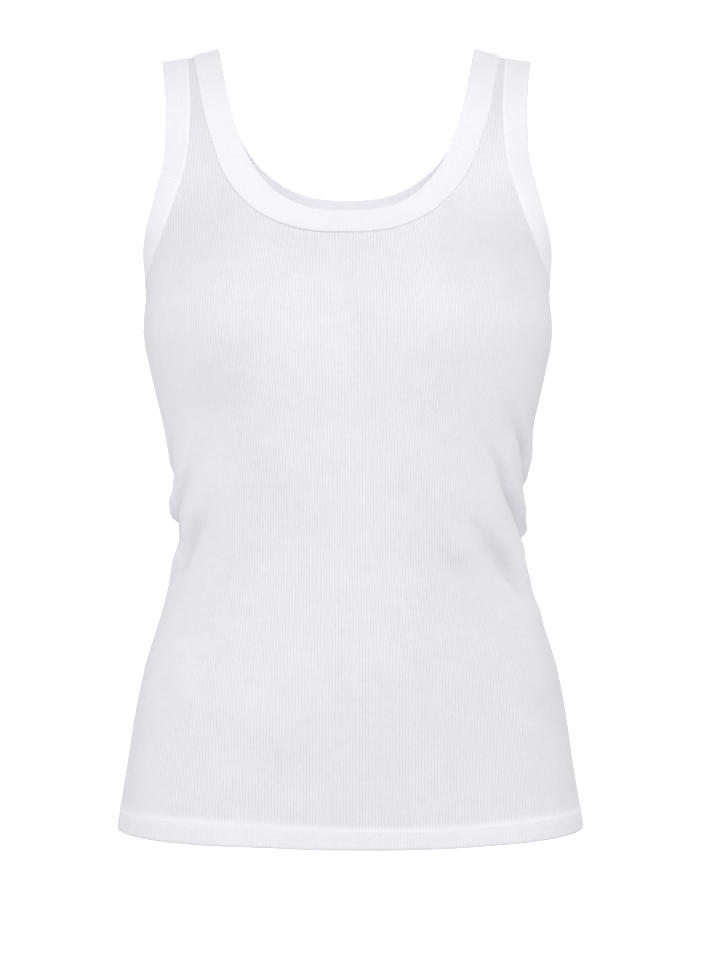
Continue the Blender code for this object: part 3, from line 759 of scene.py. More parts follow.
    def row_places(self) -> tuple[np.ndarray, np.ndarray, np.ndarray]:
        """The rows from the turned-up edge, down inside, round the hem's fold and up outside.

        Returns:
            Each row's height, its depth under the outer face and its way out, from -1 inside to 1
            outside.
        """
        deep = 2 * self.wall + self.hem_gap
        inner = np.linspace(self.hem, self.low_rows[0], self.inner_rows)
        swing = np.linspace(math.pi, 0, self.fold_rows)
        upper, lower = self.hem_rows
        aside = self.row_aside
        outer = [*self.low_rows, lower - aside, lower, lower + aside, (upper + lower) / 2]
        outer += [upper - aside, upper, *self.above_hem]
        for lowest, highest, count in self.row_bands:
            outer += list(np.linspace(lowest, highest, count))
        outer += [*self.top_rows, *[self.top] * len(self.seam_turn)]
        heights = np.concatenate([inner, self.fold[0] - self.fold[1] * np.sin(swing), outer])
        flat = np.zeros(len(outer))
        flat[-len(self.seam_turn) :] = self.seam_turn
        inside = np.ones(self.inner_rows)
        depths = np.concatenate([inside * deep, deep * (1 - np.cos(swing)) / 2, flat])
        return heights, depths, np.concatenate([-inside, np.cos(swing), np.ones(len(outer))])

    def relief(self, ribs: np.ndarray, heights: np.ndarray) -> np.ndarray:
        """How high the ribs stand over their foot: pressed flatter in the hem and by its stitches.

        Args:
            ribs: the ribs' shares by column.
            heights: the rows' heights.

        Returns:
            The rise by column and row.
        """
        phase = np.mod(np.arange(len(ribs)), self.rib_points)
        raised = np.where(phase == 0, 0.0, 1.0)[:, None]
        upper, lower = self.hem_rows
        depth, reach = self.row_groove
        groove = depth * (bell(heights - upper, reach) + bell(heights - lower, reach))
        crown = self.row_crown[0] * bell(heights - (upper + lower) / 2, self.row_crown[1])
        standing = self.rib_rise * raised * self.strength(ribs, heights) * self.pressed(heights)
        return standing - groove + crown

    def pressed(self, heights: np.ndarray) -> np.ndarray:
        """The ribs' height as a share of the panel's, less in the hem."""
        return blend(self.hem_press, 1, (heights - self.hem_rows[0]) / self.press_reach)

    def strength(self, ribs: np.ndarray, heights: np.ndarray) -> np.ndarray:
        """How far the ribs stand up, less where the cloth is stretched smooth.

        Args:
            ribs: the ribs' shares by column.
            heights: the rows' heights.

        Returns:
            A share of their height by column and row.
        """
        hip, hip_from, hip_over = self.hip_ribs
        chest, chest_from, chest_over = self.chest_ribs
        start, over = self.smooth_from
        starts = start + hip * (1 - ease((heights - hip_from) / hip_over))
        starts = starts + chest * ease((heights - chest_from) / chest_over)
        strength = 1 - self.smooth * ease((np.abs(ribs)[:, None] - starts) / over)
        return strength * (1 - self.calm * self.beside_arm(ribs, heights))

    def beside_arm(self, ribs: np.ndarray, heights: np.ndarray) -> np.ndarray:
        """Where the cloth is stretched beside an armhole: the left's front or the right's back.

        Args:
            ribs: the ribs' shares by column.
            heights: the rows' heights.

        Returns:
            A share, 0 to 1, by column and row.
        """
        left = ribs[:, None] * -self.side.value
        height, reach = self.calm_height
        return ease((left - self.calm_from[0]) / self.calm_from[1]) * bell(heights - height, reach)

    def hem_drift(self, ribs: np.ndarray, heights: np.ndarray) -> np.ndarray:
        """Puts the hem's uneven sewing and hang into the rows' heights.

        Args:
            ribs: the ribs' shares by column.
            heights: the rows' heights as cut.

        Returns:
            Heights by column and row.
        """
        at, width, rise = (np.array(column) for column in zip(*self.hem_line))
        width, rise = smooth_curve(at, width)(ribs)[:, None], smooth_curve(at, rise)(ribs)[:, None]
        share = 1 - ease((heights - self.hem - self.drift_fade[0]) / self.drift_fade[1])
        return heights * (1 + (width / self.hem - 1) * share) + rise * share

    def turns_at(self, drops: np.ndarray, runs: np.ndarray) -> np.ndarray:
        """Reads ribs' runs at their own levels, each by its own row of both arrays."""
        return np.array([np.interp(-drop, -self.drops, run) for drop, run in zip(drops, runs)])

    def places(self) -> tuple[np.ndarray, np.ndarray, np.ndarray]:
        """Where each vertex lies.

        Returns:
            The ribs' shares of the way to the side seams by column, and turns and levels by column
            and row.
        """
        heights, _, _ = self.row_places()
        ends = np.ones(len(self.seam_turn))
        ribs = np.concatenate([-ends, np.linspace(-1, 1, self.ribs * self.rib_points + 1), ends])
        drops = level_of(self.hem_drift(ribs, heights))
        runs = self.rib_turns(np.abs(ribs[len(ribs) // 2 :]))
        turns = self.turns_at(drops, np.concatenate([runs[:0:-1], runs]))
        return ribs, turns * np.sign(ribs)[:, None], drops * self.side.value

    def tone_and_painted_light(
        self, ribs: np.ndarray, heights: np.ndarray, around: np.ndarray, above: np.ndarray
    ) -> np.ndarray:
        """How much lighter the cloth is coloured than plain rib, less than 0 where darker: painted
        light and shade, with the hem's own lighter tone.

        Args:
            ribs: the ribs' shares by column.
            heights: the rows' heights as cut.
            around: place round the garment by column and row.
            above: height above the hem by column and row.

        Returns:
            The shade by column and row.
        """
        upper, lower = self.hem_rows
        strap, strap_from, strap_over = self.strap_painted_shade
        light, reach = self.row_light
        lighter = self.hem_light[0] * (heights < upper + self.hem_light[1])
        lighter = lighter + light * bell(heights - (upper + lower) / 2, reach)
        # painted shade on the straps
        lighter -= strap * ease((heights - strap_from) / strap_over)
        # painted shade in the creases' troughs
        trough = np.minimum(self.form.crease_lift(around, above), 0)
        # painted shade where the ribs are stretched out
        lighter = lighter - self.smooth_painted_shade * (1 - self.strength(ribs, heights))
        lighter += self.crease_painted_shade * trough
        # painted shade beside the armhole
        lighter -= self.calm_painted_shade * self.beside_arm(ribs, heights)
        # painted light and shade in soft patches
        return lighter + sum(patch.over(around, above) for patch in PAINTED_LIGHT_AND_SHADE)

    def build(self, material: bpy.types.Material) -> bpy.types.Object:
        """Builds the panel.

        Args:
            material: its finish.

        Returns:
            The piece.
        """
        heights, depths, ways = self.row_places()
        ribs, turns, levels = self.places()
        turned = len(self.seam_turn)  # columns added at each seam, where the edge turns in
        lift = self.relief(ribs[: -2 * turned], heights) * ways - depths
        lift = np.pad(lift, ((turned, turned), (0, 0)), mode="edge")
        for k, depth in enumerate(self.seam_turn):
            lift[[k - turned, turned - 1 - k]] -= depth
        rib = ribs[:, None]
        points = self.form.cloth_point(turns, levels, rib, lift)
        steps = np.linalg.norm(np.diff(points, axis=1), axis=2)
        along = np.pad(np.cumsum(steps, axis=1), ((0, 0), (1, 0)))
        uv = np.stack([np.broadcast_to(rib * self.ribs / 2, along.shape), along], axis=2)
        around = round_place(rib, levels)
        tone_and_painted_light = self.tone_and_painted_light(ribs, heights, around, points[..., 2] + HOLD_HEIGHT)
        mesh = grid_mesh(*points.shape[:2])
        settle(mesh, points, uv, tone_and_painted_light, self.strength(ribs, heights) * self.pressed(heights))
        self.trim(mesh, turns, levels)
        if self.side is Side.BACK:
            bmesh.ops.reverse_faces(mesh, faces=mesh.faces)
        return finished(f"{self.side.name.lower()}_rib_panel", mesh, material, self.wall)

    def hem_lines(self) -> list[np.ndarray]:
        """The two stitch rows that hold the hem up.

        Returns:
            Each row's points.
        """
        ribs = np.linspace(-self.line_span, self.line_span, self.line_points)
        runs = self.rib_turns(np.abs(ribs))
        rise = np.full(len(ribs), self.rib_rise * self.line_rise)
        lines = []
        for row in self.hem_rows:
            drops = level_of(self.hem_drift(ribs, np.array([row])))[:, 0]
            turns = self.turns_at(drops, runs) * np.sign(ribs)
            lines.append(self.form.cloth_point(turns, drops * self.side.value, ribs, rise))
        return lines

    def trim(self, mesh: bmesh.types.BMesh, turns: np.ndarray, levels: np.ndarray) -> None:
        """Cuts the neck and the armholes out, inside the bindings' folds.

        Args:
            mesh: the panel's grid.
            turns: turns by column and row.
            levels: signed levels by column and row.
        """
        drops, away = np.abs(levels), np.abs(turns)
        neck = self.openings.neck[self.side].turn_at(drops, self.tuck_share)
        arm = self.openings.arm[self.side].turn_at(drops, self.tuck_share)
        gone = (away < np.nan_to_num(neck, nan=-FAR)) | (away > np.nan_to_num(arm, nan=FAR))
        mesh.verts.ensure_lookup_table()
        lost = [mesh.verts[k] for k in np.flatnonzero(gone.T.ravel())]
        bmesh.ops.delete(mesh, geom=lost, context="VERTS")


@dataclass(frozen=True)
class Leg:
    """A half edge as part of the loop that a binding goes round."""

    edge: HalfEdge
    side: int  # 1 on the wearer's left and -1 on the right
    backwards: bool


@dataclass
class Binding:
    """A folded strip of the rib sewn round an opening with a twin needle.

    A place across it is a share of its width from its edge on the panel; what is called a share in
    its methods is one from the rim.
    """

    form: WornForm
    name: str
    legs: tuple[Leg, ...]
    rib_pitch: float = 0.0026
    rib_points: int = 4
    rib_rise: float = 0.00008
    wall: float = 0.0009
    width: float = 0.019  # as the knit's loops are laid on it
    lip: float = 0.0018
    # painted highlight along the lip
    lip_painted_highlight: float = 0.07
    lip_place: tuple[float, float] = (0.07, 0.04)
    lip_tuck: float = 0.0002  # how far the edge dips under the lip's foot
    edge_painted_shadow: float = 0.55  # painted shadow along the band's edge beside the panel
    edge_reach: float = 0.022
    painted_shadow_fade: float = 2.0  # how much of the painted shadow is lost towards the wearer's left; past 1 it turns to painted light there
    painted_shadow_width: float = 0.06
    row_light: float = 0.05
    row_reach: float = 0.03
    crest_painted_shade: float = 0.15  # painted shade on the band over the shoulder
    crest_height: tuple[float, float] = (0.535, 0.05)
    # painted light on the band's inner leg, standing in for light that comes through the cloth
    inner_painted_light: float = 0.70
    underarm_painted_light: float = 0.0  # painted light on the band towards the underarm
    low_height: tuple[float, float] = (0.455, 0.055)
    rim_lift: float = 0.0010
    rim_round: float = 0.045
    rim_points: int = 5
    under_rim: float = -0.0013
    under_edge: float = -0.0023
    stitch_rows: tuple[float, float] = (0.075, 0.27)
    outer: tuple[float, ...] = (
        0.0, 0.02, 0.04, 0.06, 0.10, 0.14, 0.19, 0.23, 0.27, 0.31, 0.36, 0.44, 0.56, 0.70, 0.82,
        0.92,
    )
    under: tuple[float, ...] = (0.06, 0.2, 0.45, 0.7, 0.9)  # shares from the rim, on the inside
    groove: float = 0.00022
    groove_reach: float = 0.035
    weld: float = 1e-6

    def profile(self) -> list[tuple[float, float]]:
        """The strip's section, from its edge on the panel over the rim to its edge inside.

        Returns:
            Share of the width from the rim, and lift over the form.
        """
        section = []
        for place in self.outer:
            rise = blend(self.lip, self.rim_lift, place)
            rise -= (self.lip + self.lip_tuck) * bell(place, self.groove_reach)
            grooves = [bell(place - row, self.groove_reach) for row in self.stitch_rows]
            rise -= sum(self.groove * groove for groove in grooves)
            section.append((1 - place, float(rise)))
        middle = (self.rim_lift + self.under_rim) / 2
        radius = (self.rim_lift - self.under_rim) / 2
        for angle in np.linspace(math.pi / 2, -math.pi / 2, self.rim_points + 2)[1:-1]:
            in_from_rim = self.rim_round * (1 - math.cos(angle))
            section.append((in_from_rim, middle + radius * math.sin(angle)))
        for place in self.under:
            section.append((place, float(blend(self.under_rim, self.under_edge, place))))
        return section

    def loop(self, share: float) -> np.ndarray:
        """The closed path round the opening.

        Args:
            share: of the binding's width from the rim.

        Returns:
            Rows of (turn, level).
        """
        parts = []
        for leg in self.legs:
            path = leg.edge.inside(share) * np.array([leg.side, 1.0])
            parts.append(path[:0:-1] if leg.backwards else path[:-1])
        return np.concatenate(parts)

    def stations(self) -> tuple[np.ndarray, np.ndarray]:
        """Even places along the loop.

        Returns:
            The places as samples of the loop's paths, and the distance to each along the middle.
        """
        path = self.loop(0.5)
        closed = np.concatenate([path, path[:1]])
        along = lengths_along(self.form.point(closed[:, 0], closed[:, 1]))
        count = self.rib_points * round(along[-1] / self.rib_pitch)
        lengths = np.linspace(0, along[-1], count + 1)
        return np.interp(lengths, along, np.arange(len(along))), lengths

    def round_loop(self, share: float, samples: np.ndarray, lift: np.ndarray) -> np.ndarray:
        """Points round the opening.

        Args:
            share: of the binding's width from the rim.
            samples: where along the loop, as samples of its path.
            lift: height over the form at each.

        Returns:
            The points, with the garment's lean.
        """
        path = self.loop(share)
        near = np.arange(-2, len(path) + 3)  # the loop's ends overlap, so that the curve closes
        turn, level = path[near % len(path)].T
        spot, normal = (
            np.stack([smooth_curve(near, every[:, k])(samples) for k in range(3)], axis=1)
            for every in (self.form.point(turn, level), self.form.normal(turn, level))
        )
        normal /= np.linalg.norm(normal, axis=1, keepdims=True)
        return leaned(spot + normal * lift[:, None])

    def tone_and_painted_light(self, places: np.ndarray, points: np.ndarray) -> np.ndarray:
        """How much lighter the band is coloured than plain knit, less than 0 where darker: painted
        light and shade, with a stitch row's own lighter tone.

        Args:
            places: the rows' places across the band.
            points: points, by station and row.

        Returns:
            The shade, by station and row.
        """
        heights = points[..., 2] + HOLD_HEIGHT
        # painted highlight along the lip
        lighter = self.lip_painted_highlight * bell(places - self.lip_place[0], self.lip_place[1])
        lighter = lighter + self.row_light * bell(places - self.stitch_rows[1], self.row_reach)
        # painted shadow beside the panel, lost towards the wearer's left
        shaded = 1 - self.painted_shadow_fade * ease(0.5 + points[..., 0] / self.painted_shadow_width)
        lighter = lighter - self.edge_painted_shadow * bell(places, self.edge_reach) * shaded
        # painted light towards the underarm
        low = 1 - ease((heights - self.low_height[0]) / self.low_height[1])
        # painted shade over the shoulder
        crest = ease((heights - self.crest_height[0]) / self.crest_height[1])
        lighter += self.underarm_painted_light * low - self.crest_painted_shade * crest
        # painted light on the inner leg
        lighter[:, len(self.outer) + self.rim_points :] = self.inner_painted_light
        return lighter

    def build(self, material: bpy.types.Material) -> bpy.types.Object:
        """Builds the binding as one closed strip.

        Args:
            material: its finish.

        Returns:
            The piece.
        """
        samples, lengths = self.stations()
        phase = np.arange(len(samples)) % self.rib_points
        raised = self.rib_rise * (0.5 - 0.5 * np.cos(2 * math.pi * phase / self.rib_points))
        section = self.profile()
        shares = np.array([share for share, _ in section])
        rings = [self.round_loop(share, samples, lift + raised) for share, lift in section]
        points = np.stack(rings, axis=1)
        ribs = (lengths / self.rib_pitch)[:, None]
        uv = np.stack(np.broadcast_arrays(ribs, shares * self.width), axis=2)
        mesh = grid_mesh(*points.shape[:2])
        settle(mesh, points, uv, self.tone_and_painted_light(1 - shares, points), np.ones(points.shape[:2]))
        bmesh.ops.remove_doubles(mesh, verts=mesh.verts, dist=self.weld)
        if not self.faces_out(mesh):
            bmesh.ops.reverse_faces(mesh, faces=mesh.faces)
        return finished(self.name, mesh, material, self.wall)

    def faces_out(self, mesh: bmesh.types.BMesh) -> bool:
        """Whether the strip's outer leg faces away from the garment's middle line."""
        face = max(mesh.faces, key=lambda f: abs(f.calc_center_median().y))
        return face.normal.y * face.calc_center_median().y > 0

    def row_line(self, row: float) -> np.ndarray:
        """Points along a stitch row on the outer face.

        Args:
            row: its place across the band.

        Returns:
            The points.
        """
        samples, _ = self.stations()
        rise = blend(self.lip, self.rim_lift, row) - self.groove
        return self.round_loop(1 - row, samples, np.full(len(samples), rise))


@dataclass
class TwinNeedle:
    """Two rows of lockstitches, each a small rounded length of thread that dips at its ends."""

    name: str
    rows: list[np.ndarray]
    stitch: float = 0.0026
    pitch: float = 0.0031
    thread: float = 0.00030

    def build(self, material: bpy.types.Material) -> bpy.types.Object:
        """Lays a stitch at each pitch along each row.

        Args:
            material: the thread's finish.

        Returns:
            The piece, all its stitches joined.
        """
        mesh = bmesh.new()
        for row in self.rows:
            along = lengths_along(row)
            count = int(along[-1] // self.pitch)
            for middle in (np.arange(count) + 0.5) * along[-1] / count:
                ends = [self.spot(row, along, middle + way * self.stitch / 2) for way in (-1, 1)]
                aim = Vector(ends[1] - ends[0])
                turn = aim.to_track_quat("X", "Z").to_matrix().to_4x4()
                size = Matrix.Diagonal((aim.length / 2, self.thread, self.thread, 1.0))
                place = Matrix.Translation(Vector((ends[0] + ends[1]) / 2)) @ turn @ size
                bmesh.ops.create_icosphere(mesh, subdivisions=1, radius=1.0, matrix=place)
        return finished(self.name, mesh, material)

    def spot(self, row: np.ndarray, along: np.ndarray, where: float) -> np.ndarray:
        """The point at a distance along a row."""
        return np.array([np.interp(where, along, row[:, k]) for k in range(3)])


class NodeBench:
    """Lays shader nodes out in a tree and joins them."""

    def __init__(self, tree: bpy.types.NodeTree) -> None:
        """Starts on a tree."""
        self.tree = tree

    def add(self, kind: str, **settings: object) -> bpy.types.Node:
        """Adds a node.

        Args:
            kind: its type.
            settings: its settings; one whose name starts with in_ is an input's value.

        Returns:
            The node.
        """
        node = self.tree.nodes.new(kind)
        for key, value in settings.items():
            if key.startswith("in_"):
                node.inputs[key[3:].replace("_", " ")].default_value = value
            else:
                setattr(node, key, value)
        return node

    def join(self, start: bpy.types.NodeSocket, end: bpy.types.NodeSocket) -> None:
        """Joins an output to an input."""
        self.tree.links.new(start, end)

    def maths(
        self,
        operation: str,
        first: bpy.types.NodeSocket | float,
        second: bpy.types.NodeSocket | float = 0.0,
    ) -> bpy.types.NodeSocket:
        """Adds a math node.

        Args:
            operation: what it does.
            first: its first input, a socket or a number.
            second: its second input, a socket or a number.

        Returns:
            Its output.
        """
        node = self.add("ShaderNodeMath", operation=operation)
        for socket, value in zip(node.inputs, (first, second)):
            if isinstance(value, bpy.types.NodeSocket):
                self.join(value, socket)
            else:
                socket.default_value = value
        return node.outputs[0]

    def texture(self, kind: str, **settings: object) -> bpy.types.NodeSocket:
        """Adds a texture in the piece's own place.

        Args:
            kind: the node's type.
            settings: its settings, as in add.

        Returns:
            Its value.
        """
        node = self.add(kind, **settings)
        self.join(self.add("ShaderNodeTexCoord").outputs["Object"], node.inputs["Vector"])
        return node.outputs["Fac"]

    def ranged(self, value: bpy.types.NodeSocket, low: float, high: float) -> bpy.types.NodeSocket:
        """Spreads a value of 0 to 1 over another range.

        Args:
            value: the value's socket.
            low: what 0 becomes.
            high: what 1 becomes.

        Returns:
            The new value.
        """
        node = self.add("ShaderNodeMapRange", in_To_Min=low, in_To_Max=high)
        self.join(value, node.inputs["Value"])
        return node.outputs[0]

    def knit_place(self) -> tuple[bpy.types.NodeSocket, bpy.types.NodeSocket]:
        """Reads the cloth's knit coordinates.

        Returns:
            The rib count and the metres along a rib.
        """
        parts = self.add("ShaderNodeSeparateXYZ")
        self.join(self.add("ShaderNodeUVMap", uv_map=UV_NAME).outputs[0], parts.inputs[0])
        return parts.outputs[0], parts.outputs[1]

    def attribute(self, name: str) -> bpy.types.NodeSocket:
        """A number that the cloth's vertices carry."""
        return self.add("ShaderNodeAttribute", attribute_name=name).outputs["Fac"]


def new_material(
    name: str, roughness: float
) -> tuple[bpy.types.Material, NodeBench, bpy.types.Node]:
    """Starts a material.

    Args:
        name: its name.
        roughness: its shader's roughness.

    Returns:
        The material, a bench for its nodes and its shader.
    """
    material = bpy.data.materials.new(name)
    material.use_nodes = True
    shader = material.node_tree.nodes["Principled BSDF"]
    shader.inputs["Roughness"].default_value = roughness
    return material, NodeBench(material.node_tree), shader


class KnitGroups:
    """The shader node groups that the cloths share."""

    def __init__(self) -> None:
        """Builds both groups."""
        self.loops = self.knit_loops()
        self.shade = self.cloth_shade()

    def new_group(
        self, name: str, output: str, **inputs: float
    ) -> tuple[bpy.types.NodeTree, NodeBench, bpy.types.NodeOutputs, bpy.types.NodeSocket]:
        """Starts a group of numbers.

        Args:
            name: its name.
            output: its output's name.
            inputs: its inputs' names and values.

        Returns:
            The group, a bench for its nodes, its given inputs and its result's socket.
        """
        tree = bpy.data.node_groups.new(name, "ShaderNodeTree")
        for label, value in inputs.items():
            socket = tree.interface.new_socket(label, in_out="INPUT", socket_type="NodeSocketFloat")
            socket.default_value = value
        tree.interface.new_socket(output, in_out="OUTPUT", socket_type="NodeSocketFloat")
        bench = NodeBench(tree)
        given = bench.add("NodeGroupInput").outputs
        return tree, bench, given, bench.add("NodeGroupOutput").inputs[output]

    def knit_loops(self) -> bpy.types.NodeTree:
        """Rows of small slanted loops along each rib, as a height.

        Returns:
            The group.
        """
        tree, bench, given, result = self.new_group(
            "knit_loops", "Height", Course=0.0009, Slant=0.35, Fuzz=0.3
        )
        ribs, along = bench.knit_place()
        slanted = bench.maths("MULTIPLY", bench.maths("PINGPONG", ribs, 0.5), given["Slant"])
        course = bench.maths("DIVIDE", along, given["Course"])
        phase = bench.maths("MULTIPLY", bench.maths("ADD", course, slanted), 2 * math.pi)
        wave = bench.maths("MULTIPLY", bench.maths("SINE", phase), 0.5)
        noise = bench.texture("ShaderNodeTexNoise", in_Scale=1400.0, in_Detail=3.0)
        fuzz = bench.maths("MULTIPLY", noise, given["Fuzz"])
        bench.join(bench.maths("ADD", wave, fuzz), result)
        return tree

    def cloth_shade(self) -> bpy.types.NodeTree:
        """How light the cloth is, 0 to 1: soft blotches, fine flecks, painted shade in the grooves
        between the ribs, and the vertices' painted light and shade.

        Returns:
            The group.
        """
        tree, bench, given, result = self.new_group(
            "cloth_shade", "Shade", Base=0.7, Blotch=0.25, Fleck=0.2, Groove=0.5
        )
        light = given["Base"]
        for label, look in (
            ("Blotch", {"in_Scale": 14.0, "in_Detail": 5.0, "in_Roughness": 0.78}),
            ("Fleck", {"in_Scale": 520.0, "in_Detail": 2.0}),
        ):
            even = bench.maths("SUBTRACT", bench.texture("ShaderNodeTexNoise", **look), 0.5)
            light = bench.maths("ADD", light, bench.maths("MULTIPLY", even, given[label]))
        # painted shade in the grooves between the ribs
        turn = bench.maths("COSINE", bench.maths("MULTIPLY", bench.knit_place()[0], 2 * math.pi))
        dip = bench.maths("MULTIPLY", bench.maths("ADD", turn, 1.0), 0.5)
        groove = bench.maths("MULTIPLY", bench.maths("POWER", dip, 3.0), given["Groove"])
        groove = bench.maths("MULTIPLY", groove, bench.attribute(GROOVE_SHADE_NAME))
        light = bench.maths("SUBTRACT", light, groove)
        bench.join(bench.maths("ADD", light, bench.attribute(PAINTED_LIGHT_AND_TONE_NAME)), result)
        return tree


@dataclass(frozen=True)
class ClothFinish:
    """A knitted cotton's look."""

    name: str
    dark: tuple[float, float, float]
    light: tuple[float, float, float]
    base: float  # where plain cloth lies between dark and light
    blotch: float
    fleck: float
    # painted shade in the grooves between the ribs
    groove: float = 0.5
    roughness: float = 0.93
    specular: float = 0.2
    sheen: float = 0.12
    sheen_roughness: float = 0.5
    bump: float = 0.00008

    def make(self, groups: KnitGroups) -> bpy.types.Material:
        """Makes the material.

        Args:
            groups: the shared node groups.

        Returns:
            The material.
        """
        material, bench, shader = new_material(self.name, self.roughness)
        shader.inputs["Specular IOR Level"].default_value = self.specular
        shader.inputs["Sheen Weight"].default_value = self.sheen
        shader.inputs["Sheen Roughness"].default_value = self.sheen_roughness
        loops = bench.add("ShaderNodeGroup", node_tree=groups.loops)
        shade = bench.add(
            "ShaderNodeGroup",
            node_tree=groups.shade,
            in_Base=self.base,
            in_Blotch=self.blotch,
            in_Fleck=self.fleck,
            in_Groove=self.groove,
        )
        tint = bench.add("ShaderNodeMix", data_type="RGBA")
        ends = [socket for socket in tint.inputs if socket.type == "RGBA"]
        for socket, colour in zip(ends, (self.dark, self.light)):
            socket.default_value = (*colour, 1.0)
        mixed = next(socket for socket in tint.outputs if socket.type == "RGBA")
        bench.join(shade.outputs["Shade"], tint.inputs[0])
        bench.join(mixed, shader.inputs["Base Color"])
        bump = bench.add("ShaderNodeBump", in_Distance=self.bump, in_Strength=1.0)
        bench.join(loops.outputs["Height"], bump.inputs["Height"])
        bench.join(bump.outputs[0], shader.inputs["Normal"])
        return material


@dataclass(frozen=True)
class ThreadFinish:
    """Sewing thread: plain, a little glossier than the cloth, with painted shade in stripes along
    its twist.
    """

    name: str = "white_thread"
    colour: tuple[float, float, float] = (0.95, 0.942, 0.985)
    roughness: float = 0.55
    twist: float = 900.0
    # painted shade between the twist's plies
    darkest_twist_shade: float = 0.86

    def make(self) -> bpy.types.Material:
        """Makes the material.

        Returns:
            The material.
        """
        material, bench, shader = new_material(self.name, self.roughness)
        twist = bench.texture("ShaderNodeTexWave", in_Scale=self.twist, in_Distortion=2.0)
        tint = bench.add("ShaderNodeVectorMath", operation="SCALE")
        tint.inputs[0].default_value = self.colour
        bench.join(bench.ranged(twist, self.darkest_twist_shade, 1.0), tint.inputs["Scale"])
        bench.join(tint.outputs[0], shader.inputs["Base Color"])
        return material


RIB_FINISH = ClothFinish(
    "white_rib_knit",
    dark=(0.74, 0.733, 0.776),
    light=(0.93, 0.920, 0.968),
    base=0.71,
    blotch=0.72,
    fleck=0.38,
)
BAND_FINISH = ClothFinish(
    "white_binding_knit",
    dark=(0.56, 0.555, 0.588),
    light=(0.97, 0.960, 1.0),
    base=0.71,
    blotch=0.14,
    fleck=0.11,
    groove=0.03,
)


@dataclass(frozen=True)
class Lamp:
    """A soft panel of light."""

    name: str
    at: tuple[float, float, float]
    size: tuple[float, float]
    power: float

    def hang(self, aim_at: Vector) -> None:
        """Hangs it.

        Args:
            aim_at: the point it faces.
        """
        data = bpy.data.lights.new(self.name, "AREA")
        data.shape = "RECTANGLE"
        data.size, data.size_y = self.size
        data.energy = self.power
        lamp = bpy.data.objects.new(self.name, data)
        lamp.location = self.at
        lamp.rotation_euler = (aim_at - Vector(self.at)).to_track_quat("-Z", "Y").to_euler()
        bpy.context.scene.collection.objects.link(lamp)


@dataclass
class Studio:
    """The pale floor and backdrop, the soft lights and the camera."""

    camera_at: tuple[float, float, float] = (0.0085, -1.744, -0.3245)
    lens: float = 85.0
    sensor_height: float = 36.0
    floor_height: float = -1.05
    floor_size: float = 14.0
    floor_tones: tuple[float, float] = (0.62, 0.66)
    floor_roughness: float = 0.9
    fold: float = 1.5  # radius of the curve up to the backdrop
    fold_segments: int = 12
    world_light: tuple[float, float] = (0.68, 1.05)  # on things, and as the camera sees it
    aim_at: tuple[float, float, float] = (0.0, 0.0, -0.3)
    lamps: tuple[Lamp, ...] = (
        Lamp("key", (-0.1, -1.6, 0.5), (1.4, 1.2), 8.7),
        Lamp("fill", (0.6, -1.9, 0.5), (1.4, 1.4), 4.0),
        Lamp("top", (0.0, -2.4, 1.8), (2.4, 1.6), 6.5),
        Lamp("left", (2.3, -0.3, 0.5), (1.2, 2.0), 6.6),
        Lamp("right", (-2.3, -0.3, 0.4), (1.2, 2.0), 7.1),
        Lamp("back", (0.0, 2.4, 0.8), (2.4, 1.6), 38.0),
    )

    def floor(self) -> None:
        """A plain pale floor that runs up behind as a backdrop, with a wide curve between."""
        mesh = bmesh.new()
        bmesh.ops.create_grid(mesh, x_segments=1, y_segments=1, size=self.floor_size / 2)
        bmesh.ops.translate(mesh, verts=mesh.verts, vec=(0, 0, self.floor_height))
        back = [edge for edge in mesh.edges if all(v.co.y > 0 for v in edge.verts)]
        made = bmesh.ops.extrude_edge_only(mesh, edges=back)["geom"]
        risen = [item for item in made if isinstance(item, bmesh.types.BMVert)]
        bmesh.ops.translate(mesh, verts=risen, vec=(0, 0, self.floor_size / 2))
        bmesh.ops.bevel(
            mesh,
            geom=[edge for edge in back if edge.is_valid],
            offset=self.fold,
            affect="EDGES",
            segments=self.fold_segments,
            profile=0.5,
            material=-1,
        )
        material, bench, shader = new_material("pale_floor", self.floor_roughness)
        seen = bench.add("ShaderNodeLightPath").outputs["Is Camera Ray"]
        bench.join(seen, shader.inputs["Emission Strength"])
        tone = bench.ranged(bench.texture("ShaderNodeTexNoise", in_Scale=3.0), *self.floor_tones)
        bench.join(tone, shader.inputs["Base Color"])
        finished("pale_floor", mesh, material)

    def lights(self) -> None:
        """The even white world and soft panels round the front."""
        world = bpy.data.worlds.new("studio")
        world.use_nodes = True
        background = world.node_tree.nodes["Background"]
        background.inputs["Color"].default_value = (1.0, 1.0, 1.0, 1.0)
        bench = NodeBench(world.node_tree)
        seen = bench.add("ShaderNodeLightPath").outputs["Is Camera Ray"]
        bench.join(bench.ranged(seen, *self.world_light), background.inputs["Strength"])
        bpy.context.scene.world = world
        for lamp in self.lamps:
            lamp.hang(Vector(self.aim_at))

    def camera(self) -> None:
        """The camera, straight in front at chest height."""
        data = bpy.data.cameras.new("camera")
        data.lens = self.lens
        data.sensor_fit = "VERTICAL"
        data.sensor_height = self.sensor_height
        camera = bpy.data.objects.new("camera", data)
        camera.location = self.camera_at
        camera.rotation_euler = (math.pi / 2, 0, 0)
        bpy.context.scene.collection.objects.link(camera)
        bpy.context.scene.camera = camera
        bpy.context.scene.view_settings.view_transform = "Standard"


